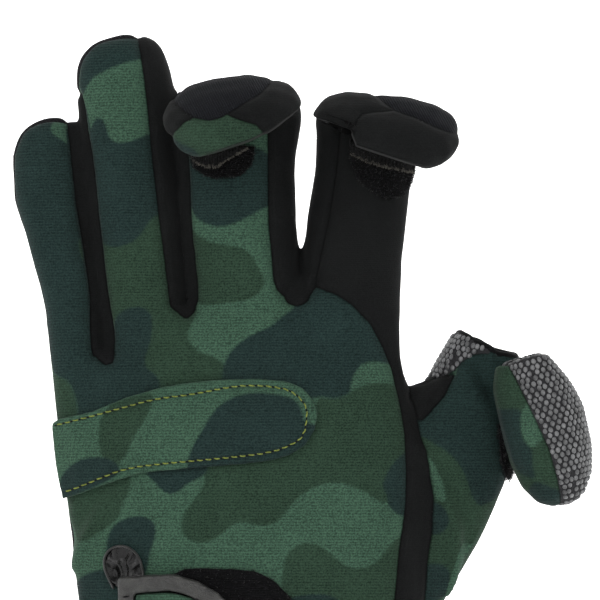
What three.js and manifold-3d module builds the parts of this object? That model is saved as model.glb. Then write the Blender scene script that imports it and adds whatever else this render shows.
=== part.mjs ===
// Fold-back fishing glove for the left hand, lying open as it is worn, without the hand.
// Millimetres. Origin at the centre of the wrist opening, +Z towards the fingertips,
// -Y out of the back of the hand, +X towards the thumb.

import * as THREE from 'three';
import { mergeVertices } from 'three/addons/utils/BufferGeometryUtils.js';
import Module from 'manifold-3d';

const wasm = await Module();
wasm.setup();

// Driving sizes
const PALM_WIDTH = 101;
const HAND_LENGTH = 138.5;
const HAND_DEPTH = 36;
const WALL = 2.5;
const SEAM_GAP = 0.3;
const HEM_HEIGHT = 8;
const HEM_THICKNESS = 1.2;

const PINKY_LENGTH = 64.3;
const PINKY_WIDTH = 19.5;
const PINKY_DEPTH = 18.5;
const RING_LENGTH = 79.9;
const RING_WIDTH = 24.5;
const RING_DEPTH = 22;
const MIDDLE_LENGTH = 56.2;
const MIDDLE_WIDTH = 31;
const MIDDLE_DEPTH = 22;
const INDEX_LENGTH = 52.9;
const INDEX_WIDTH = 26.7;
const INDEX_DEPTH = 22;
const THUMB_LENGTH = 102;
const THUMB_WIDTH = 27;
const THUMB_DEPTH = 25;

const CAP_WALL = 2.2;
const MIDDLE_CAP = { width: 36.4, thickness: 17.5, length: 22 };
const INDEX_CAP = { width: 38.6, thickness: 15.5, length: 21 };
const THUMB_CAP = { width: 24, thickness: 21, length: 40 };

const PAD_THICKNESS = 2.2;
const PATCH_THICKNESS = 1.6;
const STRAP_THICKNESS = 2.6;
const BINDING_WIDTH = 4.4;
const BINDING_THICKNESS = 3.4;
const PULL_LOOP_THICKNESS = 3.2;
const PULL_LOOP_BAND = 2.6;

// Numbers of sides of a lofted section
const HAND_SIDES = 22;
const FINGER_SIDES = 14;
const CAP_SIDES = 14;

// How square a section is: 2 is an ellipse, larger is boxier
const HAND_SQUARENESS = 2.35;
const FINGER_SQUARENESS = 2.2;

// Sections narrower than this are left out
const LEAST = 1;

// Longer than any piece, for cutting prisms
const REACH = 4 * (PALM_WIDTH + HAND_LENGTH + HAND_DEPTH);

// How far the outlines that cut the fingers' panels run past their tips, sides and the web
const PAST_TIP = 1.2;
const PAST_SIDE = 0.75;
const PAST_WEB = 3 * WALL;

// The ring finger's dark side ends this share of its width left of its seam
const RING_SIDE = 0.33;

// A table's rows become objects with its columns' names.
function table(columns, rows) {
  const names = columns.split(' ');
  return rows.map((row) => Object.fromEntries(names.map((name, k) => [name, row[k]])));
}

// Hand: up is a share of HAND_LENGTH, left and right of PALM_WIDTH, back and palm of HAND_DEPTH.
const HAND = table('up left right back palm', [
  [0, -0.417, 0.417, 0.72, 0.72],
  [0.2, -0.424, 0.4, 0.65, 0.68],
  [0.45, -0.472, 0.457, 0.5, 0.6],
  [0.645, -0.505, 0.474, 0.465, 0.555],
  [0.81, -0.533, 0.428, 0.435, 0.495],
  [0.91, -0.544, 0.393, 0.385, 0.41],
  [0.93, -0.425, 0.389, 0.36, 0.38],
  [0.965, -0.382, 0.387, 0.33, 0.345],
  [1, -0.281, 0.386, 0.305, 0.315],
  [1.025, -0.158, 0.386, 0.29, 0.3],
  [1.04, 0.088, 0.385, 0.28, 0.28],
  [1.07, 0.104, 0.313, 0.235, 0.235],
]);
const SHOULDER_UP = 0.92;

// Fingers: across and rise place the root as shares of PALM_WIDTH and HAND_LENGTH. In a row, up is
// a share of the finger's length, left, right and the seams of its width, depth of its depth. An
// open finger's rim is given at the back, the sides and the palm, as shares of its length.
const FINGERS = {
  pinky: {
    across: -0.468, rise: 0.926, length: PINKY_LENGTH, width: PINKY_WIDTH, depth: PINKY_DEPTH,
    curl: 0.05, closed: true,
    rows: table('up left right depth seamLeft seamRight', [
      [-0.23, -0.33, 0.33, 0.42],
      [0, -0.4, 0.35, 0.5, null, 0.19],
      [0.25, -0.5, 0.28, 0.5, null, 0.165],
      [0.48, -0.72, 0.135, 0.5, null, 0.05],
      [0.65, -0.9, 0.075, 0.5, null, -0.035],
      [0.84, -0.93, 0.04, 0.48, null, -0.1],
      [0.94, -0.8, -0.01, 0.4, null, -0.145],
      [0.99, -0.5, -0.13, 0.18, null, -0.18],
    ]),
  },
  ring: {
    across: -0.286, rise: 0.975, length: RING_LENGTH, width: RING_WIDTH, depth: RING_DEPTH,
    curl: 0.04, closed: true,
    rows: table('up left right depth seamLeft seamRight', [
      [-0.27, -0.4, 0.44, 0.42],
      [-0.06, -0.44, 0.445, 0.5, -0.35],
      [0.15, -0.52, 0.4, 0.5, -0.45, 0.19],
      [0.37, -0.645, 0.345, 0.5, -0.54, 0.14],
      [0.6, -0.71, 0.3, 0.5, -0.62, 0.055],
      [0.8, -0.79, 0.295, 0.5, -0.74, -0.015],
      [0.9, -0.77, 0.205, 0.45, null, -0.06],
      [0.96, -0.62, 0.12, 0.33, null, -0.095],
      [0.993, -0.32, -0.03, 0.12, null, -0.12],
    ]),
  },
  middle: {
    across: -0.035, rise: 1.018, length: MIDDLE_LENGTH, width: MIDDLE_WIDTH, depth: MIDDLE_DEPTH,
    curl: 0.01, closed: false, rim: { front: 0.88, side: 0.985, palm: 1.02 },
    rows: table('up left right depth seamLeft seamRight', [
      [-0.49, -0.37, 0.38, 0.42],
      [-0.04, -0.465, 0.49, 0.5],
      [0.135, -0.48, 0.495, 0.5, -0.39, 0.28],
      [0.4, -0.522, 0.465, 0.5, -0.44, 0.235],
      [0.68, -0.552, 0.445, 0.5, -0.47, 0.23],
      [0.88, -0.57, 0.5, 0.5, -0.48, 0.225],
      [1.04, -0.58, 0.51, 0.5, -0.48, 0.225],
    ]),
  },
  index: {
    across: 0.254, rise: 1.033, length: INDEX_LENGTH, width: INDEX_WIDTH, depth: INDEX_DEPTH,
    curl: 0.01, closed: false, rim: { front: 0.86, side: 0.96, palm: 1.02 },
    rows: table('up left right depth seamLeft seamRight', [
      [-0.56, -0.38, 0.51, 0.42],
      [-0.1, -0.46, 0.505, 0.5],
      [0.2, -0.47, 0.53, 0.5, -0.31],
      [0.45, -0.41, 0.585, 0.5, -0.2],
      [0.65, -0.345, 0.625, 0.5, -0.145],
      [0.85, -0.32, 0.65, 0.5, -0.105],
      [1.04, -0.35, 0.63, 0.5, -0.09],
    ]),
  },
};

// Thumb: root at its lower end. up is a share of THUMB_LENGTH, left and right of THUMB_WIDTH,
// depth and set, how far the tube sits towards the palm, of THUMB_DEPTH.
const THUMB = {
  across: 0.39, rise: 0.25,
  rows: table('up left right depth set', [
    [0, -0.6, -0.05, 0.3, 0.1],
    [0.1, -0.5, 0.08, 0.38, 0.14],
    [0.22, -0.42, 0.33, 0.46, 0.2],
    [0.34, -0.35, 0.59, 0.5, 0.25],
    [0.42, -0.25, 0.77, 0.5, 0.28],
    [0.5, -0.16, 0.92, 0.5, 0.3],
    [0.6, -0.07, 1.07, 0.5, 0.31],
    [0.7, 0, 1.13, 0.5, 0.33],
    [0.8, 0.12, 1.17, 0.5, 0.34],
    [0.86, 0.28, 1.19, 0.5, 0.35],
    [0.92, 0.43, 1.23, 0.48, 0.36],
    [1, 0.61, 1.26, 0.46, 0.36],
  ]),
};

// Web between thumb and index base: shares as in HAND, depth and set of HAND_DEPTH.
const WEB = table('up left right depth set', [
  [0.62, 0.33, 0.56, 0.3, 0.14],
  [0.74, 0.34, 0.54, 0.29, 0.15],
  [0.81, 0.35, 0.51, 0.25, 0.15],
  [0.85, 0.36, 0.495, 0.19, 0.15],
  [0.866, 0.37, 0.485, 0.1, 0.15],
]);

// Bottoms of the U-shaped gussets between the fingers
const WEB_SEAMS = {
  pinkyRing: table('across up', [[-0.418, 0.92], [-0.396, 0.908], [-0.376, 0.914]]),
  ringMiddle: table('across up', [
    [-0.222, 1.02], [-0.203, 1.006], [-0.182, 0.998], [-0.16, 1.012], [-0.152, 1.034],
  ]),
  middleIndex: table('across up', [[0.0615, 1.053], [0.088, 1.029], [0.112, 1.0215], [0.138, 1.03]]),
};

// Seam from the index finger's gusset down to the cuff, between the hand's back and the dark panel
const INDEX_STRIP_LEFT = table('across up', [
  [0.159, 1.058], [0.214, 1.044], [0.259, 1.022], [0.307, 0.986], [0.342, 0.944], [0.366, 0.897],
  [0.385, 0.838], [0.4, 0.77], [0.404, 0.7], [0.4, 0.63], [0.385, 0.555], [0.37, 0.45],
  [0.364, 0.25], [0.368, 0.1],
]);

// Seam between that dark panel and the thumb's panels, from the web down to the cuff
const INDEX_STRIP_RIGHT = table('across up', [
  [0.412, 0.866], [0.424, 0.838], [0.44, 0.776], [0.462, 0.714], [0.475, 0.65], [0.473, 0.589],
  [0.46, 0.515], [0.452, 0.44], [0.43, 0.3], [0.41, 0.15], [0.412, 0.1],
]);

// Lower edge of the small web panel, from the dark strip out to the thumb's rim
const WEB_PANEL_EDGE = table('across up', [
  [0.428, 0.805], [0.447, 0.801], [0.473, 0.821], [0.503, 0.85], [0.527, 0.889],
]);

// Where the grip fabric laps over the thumb's near flank, from the web up to the rim
const THUMB_GRIP_EDGE = table('across up', [
  [0.471, 0.883], [0.5, 0.889], [0.532, 0.902], [0.553, 0.914], [0.577, 0.926], [0.607, 0.931],
  [0.639, 0.928], [0.668, 0.923],
]);

// Thumb's rim, from the web side down to the outer side
const THUMB_RIM = table('across up', [
  [0.3, 0.975], [0.55, 0.972], [0.6, 0.955], [0.655, 0.93], [0.9, 0.9],
]);

// Centre lines of the fingers, where the gussets' zones end
const RING_MIDLINE = table('across up', [[-0.286, 0.85], [-0.3, 1.0], [-0.4, 1.6]]);
const MIDDLE_MIDLINE = table('across up', [[-0.05, 0.85], [-0.05, 1.6]]);
const INDEX_MIDLINE = table('across up', [[0.28, 0.85], [0.28, 1.6]]);

// Knuckle pad, pressed on the back of the hand
const PAD = table('across up', [
  [-0.541, 0.793], [-0.521, 0.803], [-0.433, 0.817], [-0.342, 0.845], [-0.254, 0.864], [-0.166, 0.875],
  [-0.075, 0.881], [0.013, 0.882], [0.086, 0.877], [0.128, 0.864], [0.155, 0.842], [0.168, 0.815],
  [0.16, 0.784], [0.134, 0.754], [0.094, 0.735], [0.048, 0.725], [-0.04, 0.717], [-0.166, 0.71],
  [-0.299, 0.7], [-0.388, 0.679], [-0.468, 0.657], [-0.512, 0.647], [-0.531, 0.72],
]);

// Wrist closure: loop patch on the glove, strap pressed on it with its rounded end towards the thumb
const STRAP = table('across up', [
  [-0.36, 0.5], [-0.281, 0.501], [-0.214, 0.493], [-0.147, 0.478], [-0.094, 0.456], [-0.053, 0.425],
  [-0.035, 0.386], [-0.04, 0.341], [-0.072, 0.308], [-0.134, 0.285], [-0.214, 0.275], [-0.36, 0.273],
]);
const WRIST_PATCH = table('across up', [
  [-0.25, 0.513], [-0.214, 0.515], [-0.134, 0.518], [-0.067, 0.516], [0, 0.505],
  [0.053, 0.483], [0.094, 0.454], [0.112, 0.419], [0.115, 0.37], [0.099, 0.322], [0.061, 0.289],
  [0, 0.269], [-0.147, 0.263], [-0.25, 0.263],
]);

// Pull loop above the strap, a teardrop of folded band
const PULL_LOOP = table('across up', [
  [-0.37, 0.48], [-0.396, 0.5], [-0.4, 0.53], [-0.385, 0.553], [-0.358, 0.563], [-0.326, 0.557],
  [-0.302, 0.536], [-0.292, 0.5], [-0.31, 0.48],
]);

// Loop patches on the finger backs, and the hook patches of the caps pressed on them
const MIDDLE_PATCH = table('across up', [
  [-0.176, 1.33], [-0.163, 1.289], [-0.13, 1.273], [-0.1, 1.269], [-0.037, 1.273], [-0.008, 1.295],
  [0.002, 1.33],
]);
const MIDDLE_HOOK = table('across up', [
  [-0.172, 1.34], [-0.163, 1.303], [-0.13, 1.291], [-0.1, 1.291], [-0.071, 1.306], [-0.013, 1.33],
]);
const INDEX_PATCH = table('across up', [
  [0.25, 1.325], [0.257, 1.294], [0.272, 1.267], [0.305, 1.246], [0.337, 1.232], [0.361, 1.23],
  [0.393, 1.236], [0.412, 1.254], [0.425, 1.287],
]);
const INDEX_HOOK = table('across up', [
  [0.25, 1.34], [0.255, 1.31], [0.29, 1.296], [0.33, 1.287], [0.39, 1.278], [0.425, 1.275], [0.43, 1.3],
]);
const THUMB_PATCH = table('across up', [
  [0.65, 0.79], [0.652, 0.764], [0.658, 0.72], [0.672, 0.688], [0.69, 0.674], [0.76, 0.672], [0.76, 0.79],
]);

// Folded caps. across, up and out place the middle of the mouth as shares of PALM_WIDTH, HAND_LENGTH
// and HAND_DEPTH. fold is the angle from straight, roll the lean to one side, and turn the twist
// about the cap's own length, in degrees.
const CAP_POSES = {
  middle: { across: -0.062, up: 1.414, out: -0.4, fold: 122, roll: -7, turn: 0 },
  index: { across: 0.352, up: 1.386, out: -0.38, fold: 122, roll: 8, turn: 0 },
  thumb: { across: 0.722, up: 0.918, out: -0.24, fold: 180, roll: -14, turn: -98 },
};

// Panels of the folded caps, seen from the back of the hand
const MIDDLE_CAP_PALM = table('across up', [
  [-0.217, 1.5], [-0.211, 1.413], [-0.179, 1.392], [-0.15, 1.38], [-0.115, 1.376], [-0.086, 1.382],
  [-0.067, 1.39], [-0.013, 1.415], [0.016, 1.429], [0.04, 1.449], [0.048, 1.462], [0.054, 1.5],
]);
const MIDDLE_CAP_BACK = table('across up', [
  [-0.217, 1.277], [-0.217, 1.345], [-0.211, 1.351], [-0.182, 1.371], [-0.152, 1.381], [-0.115, 1.377],
  [-0.078, 1.387], [-0.03, 1.373], [0.005, 1.365], [0.024, 1.351], [0.032, 1.336], [0.035, 1.277],
]);
const INDEX_CAP_PALM = table('across up', [
  [0.308, 1.5], [0.308, 1.433], [0.334, 1.419], [0.374, 1.396], [0.42, 1.384], [0.471, 1.367],
  [0.505, 1.357], [0.6, 1.345], [0.6, 1.5],
]);
const INDEX_CAP_BACK = table('across up', [
  [0.251, 1.248], [0.251, 1.359], [0.265, 1.367], [0.27, 1.376], [0.283, 1.388], [0.308, 1.392],
  [0.353, 1.395], [0.374, 1.397], [0.42, 1.385], [0.471, 1.368], [0.505, 1.358], [0.6, 1.346],
  [0.6, 1.248],
]);

// The thumb cap's side seam: shares of its thickness and length
const THUMB_CAP_SEAM = table('thick along', [[-0.33, -0.1], [-0.24, 0.2], [-0.09, 0.6], [-0.02, 1.1]]);

// Sections of a cap from its mouth to its tip: shares of its length, width and thickness
const CAP = table('along wide thick', [
  [0, 0.93, 0.84],
  [0.2, 1, 0.98],
  [0.45, 0.99, 1],
  [0.68, 0.88, 0.9],
  [0.85, 0.66, 0.7],
  [0.95, 0.4, 0.42],
  [1, 0.14, 0.14],
]);
const THUMB_CAP_ROWS = table('along wide thick', [
  [0, 0.86, 0.8],
  [0.15, 0.95, 0.95],
  [0.4, 1, 1],
  [0.65, 0.96, 0.98],
  [0.82, 0.8, 0.84],
  [0.94, 0.5, 0.56],
  [1, 0.16, 0.2],
]);

const CAPS = [
  { size: MIDDLE_CAP, rows: CAP, pose: CAP_POSES.middle },
  { size: INDEX_CAP, rows: CAP, pose: CAP_POSES.index },
  { size: THUMB_CAP, rows: THUMB_CAP_ROWS, pose: CAP_POSES.thumb },
];

const COLOURS = {
  camo: [0x2e4a3a, 0.95],
  neoprene: [0x1c1e20, 0.93],
  knit: [0x17191c, 0.95],
  grip: [0x2b2d2f, 0.8],
  loop: [0x101112, 1],
  hook: [0x3a3c3d, 0.7],
  binding: [0x4c4d4b, 0.6],
  gloss: [0x0c0c0d, 0.3],
};

// Solids from rings of points and from outlines

function manifoldOf(positions, triangles) {
  return new wasm.Manifold(new wasm.Mesh({
    numProp: 3,
    vertProperties: new Float32Array(positions),
    triVerts: new Uint32Array(triangles),
  }));
}

// Closed solid through rings that run from the first section to the last, with flat ends.
function ringLoft(rings) {
  const sides = rings[0].length;
  const positions = [];
  const triangles = [];
  for (const ring of rings) {
    for (const p of ring) positions.push(p.x, p.y, p.z);
  }
  for (let r = 0; r + 1 < rings.length; r += 1) {
    for (let s = 0; s < sides; s += 1) {
      const a = r * sides + s;
      const b = r * sides + ((s + 1) % sides);
      triangles.push(a, b, b + sides, a, b + sides, a + sides);
    }
  }
  const ends = [
    { ring: rings[0], base: 0, flip: true },
    { ring: rings.at(-1), base: (rings.length - 1) * sides, flip: false },
  ];
  for (const { ring, base, flip } of ends) {
    const middle = ring.reduce((sum, p) => sum.add(p), new THREE.Vector3()).divideScalar(sides);
    const centre = positions.length / 3;
    positions.push(middle.x, middle.y, middle.z);
    for (let s = 0; s < sides; s += 1) {
      const a = base + s;
      const b = base + ((s + 1) % sides);
      triangles.push(centre, ...(flip ? [b, a] : [a, b]));
    }
  }
  return manifoldOf(positions, triangles);
}

// One rounded section: back is its reach to -Y and palm its reach to +Y from y = set.
function section({ left, right, back, palm, set, z, sides, squareness }) {
  const ring = [];
  const centre = (left + right) / 2;
  const halfWidth = (right - left) / 2;
  for (let s = 0; s < sides; s += 1) {
    const angle = (2 * Math.PI * s) / sides;
    const c = Math.cos(angle);
    const d = Math.sin(angle);
    const x = Math.sign(c) * Math.abs(c) ** (2 / squareness);
    const y = Math.sign(d) * Math.abs(d) ** (2 / squareness);
    ring.push(new THREE.Vector3(centre + halfWidth * x, set + y * (y < 0 ? back : palm), z));
  }
  return ring;
}

// Solid through sections from bottom to top, without those too small to show.
function loft(sections) {
  const shown = sections.filter((row) => row.right - row.left > LEAST && row.back + row.palm > LEAST);
  return ringLoft(shown.map(section));
}

// An outline in X and Z becomes a prism along Y, from y = low to y = high.
function prism(outline, low = -REACH, high = REACH) {
  const shape = new THREE.Shape(outline.map(([x, z]) => new THREE.Vector2(x, z)));
  const geometry = new THREE.ExtrudeGeometry(shape, { depth: high - low, bevelEnabled: false });
  geometry.rotateX(Math.PI / 2);
  geometry.translate(0, high, 0);
  return fromGeometry(geometry);
}

// An outline in Y and Z becomes a prism along X, through everything.
function prismAlongX(outline) {
  return prism(outline.map(([y, z]) => [y, z])).rotate([0, 0, 90]);
}

function fromGeometry(geometry) {
  geometry.deleteAttribute('normal');
  geometry.deleteAttribute('uv');
  const merged = mergeVertices(geometry, 1e-4);
  return manifoldOf(merged.attributes.position.array, merged.index.array);
}

// Moves every side of an outline outwards by a distance.
function outset(outline, distance) {
  const n = outline.length;
  const area = outline.reduce((sum, [x, z], k) => {
    const [u, v] = outline[(k + 1) % n];
    return sum + x * v - u * z;
  }, 0);
  const turn = Math.sign(area);
  return outline.map(([x, z], k) => {
    const [px, pz] = outline[(k + n - 1) % n];
    const [qx, qz] = outline[(k + 1) % n];
    const before = new THREE.Vector2(x - px, z - pz).normalize();
    const after = new THREE.Vector2(qx - x, qz - z).normalize();
    const normal = new THREE.Vector2(before.y + after.y, -before.x - after.x).normalize();
    const miter = Math.max(0.5, normal.x * before.y - normal.y * before.x);
    return [x + (turn * distance * normal.x) / miter, z + (turn * distance * normal.y) / miter];
  });
}

const onHand = ({ across, up }) => [across * PALM_WIDTH, up * HAND_LENGTH];

// Main form: the same rows give the outside, the hollow and the skins that patches lie on

function handLoft(grow) {
  const rows = HAND.map((row) => ({
    left: row.left * PALM_WIDTH - grow,
    right: row.right * PALM_WIDTH + grow,
    back: row.back * HAND_DEPTH + grow,
    palm: row.palm * HAND_DEPTH + grow,
    set: 0,
    z: row.up * HAND_LENGTH + (row.up > SHOULDER_UP ? grow : 0),
    sides: HAND_SIDES,
    squareness: HAND_SQUARENESS,
  }));
  const belowCuff = { ...rows[0], z: -HEM_HEIGHT };
  return loft(grow < 0 ? [belowCuff, ...rows] : rows);
}

const fingerX = (finger, share) => finger.across * PALM_WIDTH + share * finger.width;
const fingerZ = (finger, up) => finger.rise * HAND_LENGTH + up * finger.length;

function fingerLoft(finger, grow) {
  const tipShift = finger.closed ? grow : Math.abs(grow);
  const rows = finger.rows.map((row) => ({
    left: fingerX(finger, row.left) - grow,
    right: fingerX(finger, row.right) + grow,
    back: row.depth * finger.depth + grow,
    palm: row.depth * finger.depth + grow,
    set: finger.curl * finger.length * Math.max(0, row.up) ** 2,
    z: fingerZ(finger, row.up) + Math.max(0, row.up) * tipShift,
    sides: FINGER_SIDES,
    squareness: FINGER_SQUARENESS,
  }));
  return loft(rows);
}

function thumbLoft(grow) {
  return loft(THUMB.rows.map((row) => ({
    left: THUMB.across * PALM_WIDTH + row.left * THUMB_WIDTH - grow,
    right: THUMB.across * PALM_WIDTH + row.right * THUMB_WIDTH + grow,
    back: row.depth * THUMB_DEPTH + grow,
    palm: row.depth * THUMB_DEPTH + grow,
    set: row.set * THUMB_DEPTH,
    z: THUMB.rise * HAND_LENGTH + row.up * THUMB_LENGTH + row.up * Math.abs(grow),
    sides: FINGER_SIDES,
    squareness: FINGER_SQUARENESS,
  })));
}

function webLoft(grow) {
  return loft(WEB.map((row) => ({
    left: row.left * PALM_WIDTH - grow,
    right: row.right * PALM_WIDTH + grow,
    back: Math.max(0.5, row.depth * HAND_DEPTH + grow),
    palm: Math.max(0.5, row.depth * HAND_DEPTH + grow),
    set: row.set * HAND_DEPTH,
    z: row.up * HAND_LENGTH + grow,
    sides: FINGER_SIDES,
    squareness: FINGER_SQUARENESS,
  })));
}

// Everything above the open rim of a finger's tube
function rimCut(finger) {
  const half = finger.depth / 2;
  const { front, side, palm } = finger.rim;
  const z = (up) => fingerZ(finger, up);
  return prismAlongX([
    [-REACH, z(front)], [-half, z(front)], [0, z(side)], [half, z(palm)], [REACH, z(palm)],
    [REACH, REACH], [-REACH, REACH],
  ]);
}

// Everything above the thumb's rim
function thumbRimCut() {
  const rim = THUMB_RIM.map(onHand);
  return prism([...rim, [rim.at(-1)[0], REACH], [rim[0][0], REACH]]);
}

// The outside of the glove. Its open rims end at their caps, with a small gap.
function outerForm() {
  let form = handLoft(0).add(webLoft(0)).add(thumbLoft(0).subtract(thumbRimCut()));
  for (const finger of Object.values(FINGERS)) {
    const tube = fingerLoft(finger, 0);
    form = form.add(finger.closed ? tube : tube.subtract(rimCut(finger)));
  }
  return CAPS.reduce((rest, cap) => rest.subtract(capSpace(cap)), form);
}

function hollowForm() {
  let form = handLoft(-WALL).add(webLoft(-WALL)).add(thumbLoft(-WALL));
  for (const finger of Object.values(FINGERS)) form = form.add(fingerLoft(finger, -WALL));
  return largestBody(form);
}

// Outlines of the panels, seen from the back of the hand

const seamOf = (finger, side) => finger.rows
  .filter((row) => row[side] != null)
  .map((row) => [fingerX(finger, row[side]), fingerZ(finger, row.up)]);

function backOutline() {
  const { pinky, ring, middle } = FINGERS;
  const far = -PALM_WIDTH;
  const top = (finger) => fingerZ(finger, PAST_TIP);
  const pinkySeam = seamOf(pinky, 'seamRight').reverse();
  const ringLeft = seamOf(ring, 'seamLeft');
  const ringRight = seamOf(ring, 'seamRight').reverse();
  const middleLeft = seamOf(middle, 'seamLeft');
  const middleRight = seamOf(middle, 'seamRight').reverse();
  const ringExit = ringLeft.at(-1);
  return [
    [far, 0],
    [far, top(pinky)],
    [pinkySeam[0][0], top(pinky)],
    ...pinkySeam,
    ...WEB_SEAMS.pinkyRing.map(onHand),
    ...ringLeft,
    [ringExit[0] - RING_SIDE * ring.width, ringExit[1]],
    [ringExit[0] - RING_SIDE * ring.width, top(ring)],
    [ringRight[0][0], top(ring)],
    ...ringRight.slice(0, -1),
    ...WEB_SEAMS.ringMiddle.map(onHand),
    ...middleLeft,
    [middleLeft.at(-1)[0], top(middle)],
    [middleRight[0][0], top(middle)],
    ...middleRight,
    ...WEB_SEAMS.middleIndex.map(onHand),
    ...INDEX_STRIP_LEFT.map(onHand),
    [INDEX_STRIP_LEFT.at(-1).across * PALM_WIDTH, 0],
  ];
}

function indexOutline() {
  const { index } = FINGERS;
  const seam = seamOf(index, 'seamLeft').reverse();
  const right = INDEX_STRIP_RIGHT.map(onHand);
  const outside = fingerX(index, PAST_SIDE);
  return [
    [seam[0][0], fingerZ(index, PAST_TIP)],
    ...seam,
    ...INDEX_STRIP_LEFT.map(onHand),
    [INDEX_STRIP_LEFT.at(-1).across * PALM_WIDTH, 0],
    [right.at(-1)[0], 0],
    ...right.reverse(),
    [outside, right.at(-1)[1] + WALL],
    [outside, fingerZ(index, PAST_TIP)],
  ];
}

function webOutline() {
  const edge = WEB_PANEL_EDGE.map(onHand);
  const [left, up] = onHand(INDEX_STRIP_RIGHT[0]);
  const grip = THUMB_GRIP_EDGE.map(onHand);
  return [
    [left, up],
    [left, up + PAST_WEB],
    [grip[0][0], up + PAST_WEB],
    grip[0],
    grip[1],
    ...edge.reverse(),
  ];
}

function thumbOutline() {
  const strip = INDEX_STRIP_RIGHT.map(onHand);
  const edge = WEB_PANEL_EDGE.map(onHand);
  const grip = THUMB_GRIP_EDGE.map(onHand);
  return [
    [strip.at(-1)[0], 0],
    ...strip.slice(2).reverse(),
    ...edge.slice(0, -1),
    ...grip.slice(1),
    [grip.at(-1)[0], HAND_LENGTH],
    [2 * PALM_WIDTH, HAND_LENGTH],
    [2 * PALM_WIDTH, 0],
  ];
}

// The shell, cut along its seams into the panels that it is sewn from
function makePanels() {
  const half = SEAM_GAP / 2;
  const thumbSet = THUMB.rows.at(-1).set * THUMB_DEPTH;
  const hemSpace = block([-REACH, -REACH, -REACH], [REACH, REACH, HEM_HEIGHT + SEAM_GAP]);
  const shell = outerForm().subtract(hollowForm()).subtract(hemSpace);
  const back = backOutline();
  const index = indexOutline();
  const web = webOutline();
  const thumb = thumbOutline();
  const around = (outline, high) => prism(outset(outline, SEAM_GAP), -REACH, high);
  const core = around(back).add(around(index));
  const cut = (outline, low, high, ...others) => others.reduce(
    (piece, other) => piece.subtract(other),
    shell.intersect(prism(outline, low, high)),
  );
  const edge = (x, low, high) => [[x, low * HAND_LENGTH], [x, high * HAND_LENGTH]];
  const zone = (left, right) => [...left, ...right.slice().reverse()];
  const gusset = (left, right) => largestBody(cut(zone(left, right), -REACH, REACH, core));
  const gussetLow = RING_MIDLINE[0].up;
  const gussetHigh = RING_MIDLINE.at(-1).up;
  const ringMid = RING_MIDLINE.map(onHand);
  const middleMid = MIDDLE_MIDLINE.map(onHand);
  const indexMid = INDEX_MIDLINE.map(onHand);
  const thumbZone = zone(edge(onHand(INDEX_STRIP_RIGHT[0])[0] - WALL, 0, 1), edge(PALM_WIDTH, 0, 1));
  return {
    back_panel: largestBody(cut(back, -REACH, -half)),
    index_back_panel: largestBody(cut(index, -REACH, -half, around(back))),
    web_panel: largestBody(cut(web, -REACH, thumbSet - half, core)),
    thumb_back_panel: largestBody(cut(thumb, -REACH, thumbSet - half, core, around(web))),
    palm_panel: largestBody(shell.intersect(prism(back, half).add(prism(index, half)))),
    fourchette_pinky_ring: gusset(edge(-PALM_WIDTH, gussetLow, gussetHigh), ringMid),
    fourchette_ring_middle: gusset(ringMid, middleMid),
    fourchette_middle_index: gusset(middleMid, indexMid),
    thumb_grip_panel: largestBody(cut(
      thumbZone, -REACH, REACH, core, around(web, thumbSet + half), around(thumb, thumbSet + half),
    )),
  };
}

function block(low, high) {
  const geometry = new THREE.BoxGeometry(high[0] - low[0], high[1] - low[1], high[2] - low[2]);
  geometry.translate((low[0] + high[0]) / 2, (low[1] + high[1]) / 2, (low[2] + high[2]) / 2);
  return fromGeometry(geometry);
}

function largestBody(solid) {
  return solid.decompose().reduce((best, body) => (body.volume() > best.volume() ? body : best));
}

// A flat-lying piece that follows the surface under it, between two distances from that surface
function skin(form, low, high, outline, front) {
  return form(high).subtract(form(low)).intersect(prism(outline, -REACH, front));
}

const fingerSkin = (finger) => (grow) => fingerLoft(finger, grow);

const inset = (outline, distance) => outset(outline, -distance);

// Folded caps: a pocket along its own length, then folded, rolled and moved to its mouth's place

function placeCap(solid, pose) {
  return solid
    .rotate([0, 0, pose.turn])
    .rotate([pose.fold, 0, 0])
    .rotate([0, pose.roll, 0])
    .translate([pose.across * PALM_WIDTH, pose.out * HAND_DEPTH, pose.up * HAND_LENGTH]);
}

function capLoft(size, rows, grow) {
  return loft(rows.map((row) => ({
    left: (-row.wide * size.width) / 2 - grow,
    right: (row.wide * size.width) / 2 + grow,
    back: (row.thick * size.thickness) / 2 + grow,
    palm: (row.thick * size.thickness) / 2 + grow,
    set: 0,
    z: row.along * (size.length + grow),
    sides: CAP_SIDES,
    squareness: FINGER_SQUARENESS,
  })));
}

// A cap's wall, open at the mouth
function capWall(size, rows) {
  const inside = capLoft(size, rows, -CAP_WALL);
  const mouth = capLoft(size, [{ ...rows[0], along: -CAP_WALL / size.length }, rows[0]], -CAP_WALL);
  return capLoft(size, rows, 0).subtract(inside.add(mouth));
}

// One panel's outline, cut through a placed cap
const capCut = (outline, grow) => prism(outset(outline.map(onHand), grow));

function makeMiddleCap() {
  const wall = placeCap(capWall(MIDDLE_CAP, CAP), CAP_POSES.middle);
  const side = wall.subtract(capCut(MIDDLE_CAP_PALM, SEAM_GAP)).subtract(capCut(MIDDLE_CAP_BACK, SEAM_GAP));
  const middle = CAP_POSES.middle.across * PALM_WIDTH;
  const half = (from, to) => largestBody(side.intersect(block([from, -REACH, -REACH], [to, REACH, REACH])));
  return {
    middle_cap_palm: largestBody(wall.intersect(capCut(MIDDLE_CAP_PALM, 0))),
    middle_cap_back: largestBody(
      wall.intersect(capCut(MIDDLE_CAP_BACK, 0)).subtract(capCut(MIDDLE_CAP_PALM, SEAM_GAP)),
    ),
    middle_cap_gusset_left: half(-REACH, middle),
    middle_cap_gusset_right: half(middle, REACH),
  };
}

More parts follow.
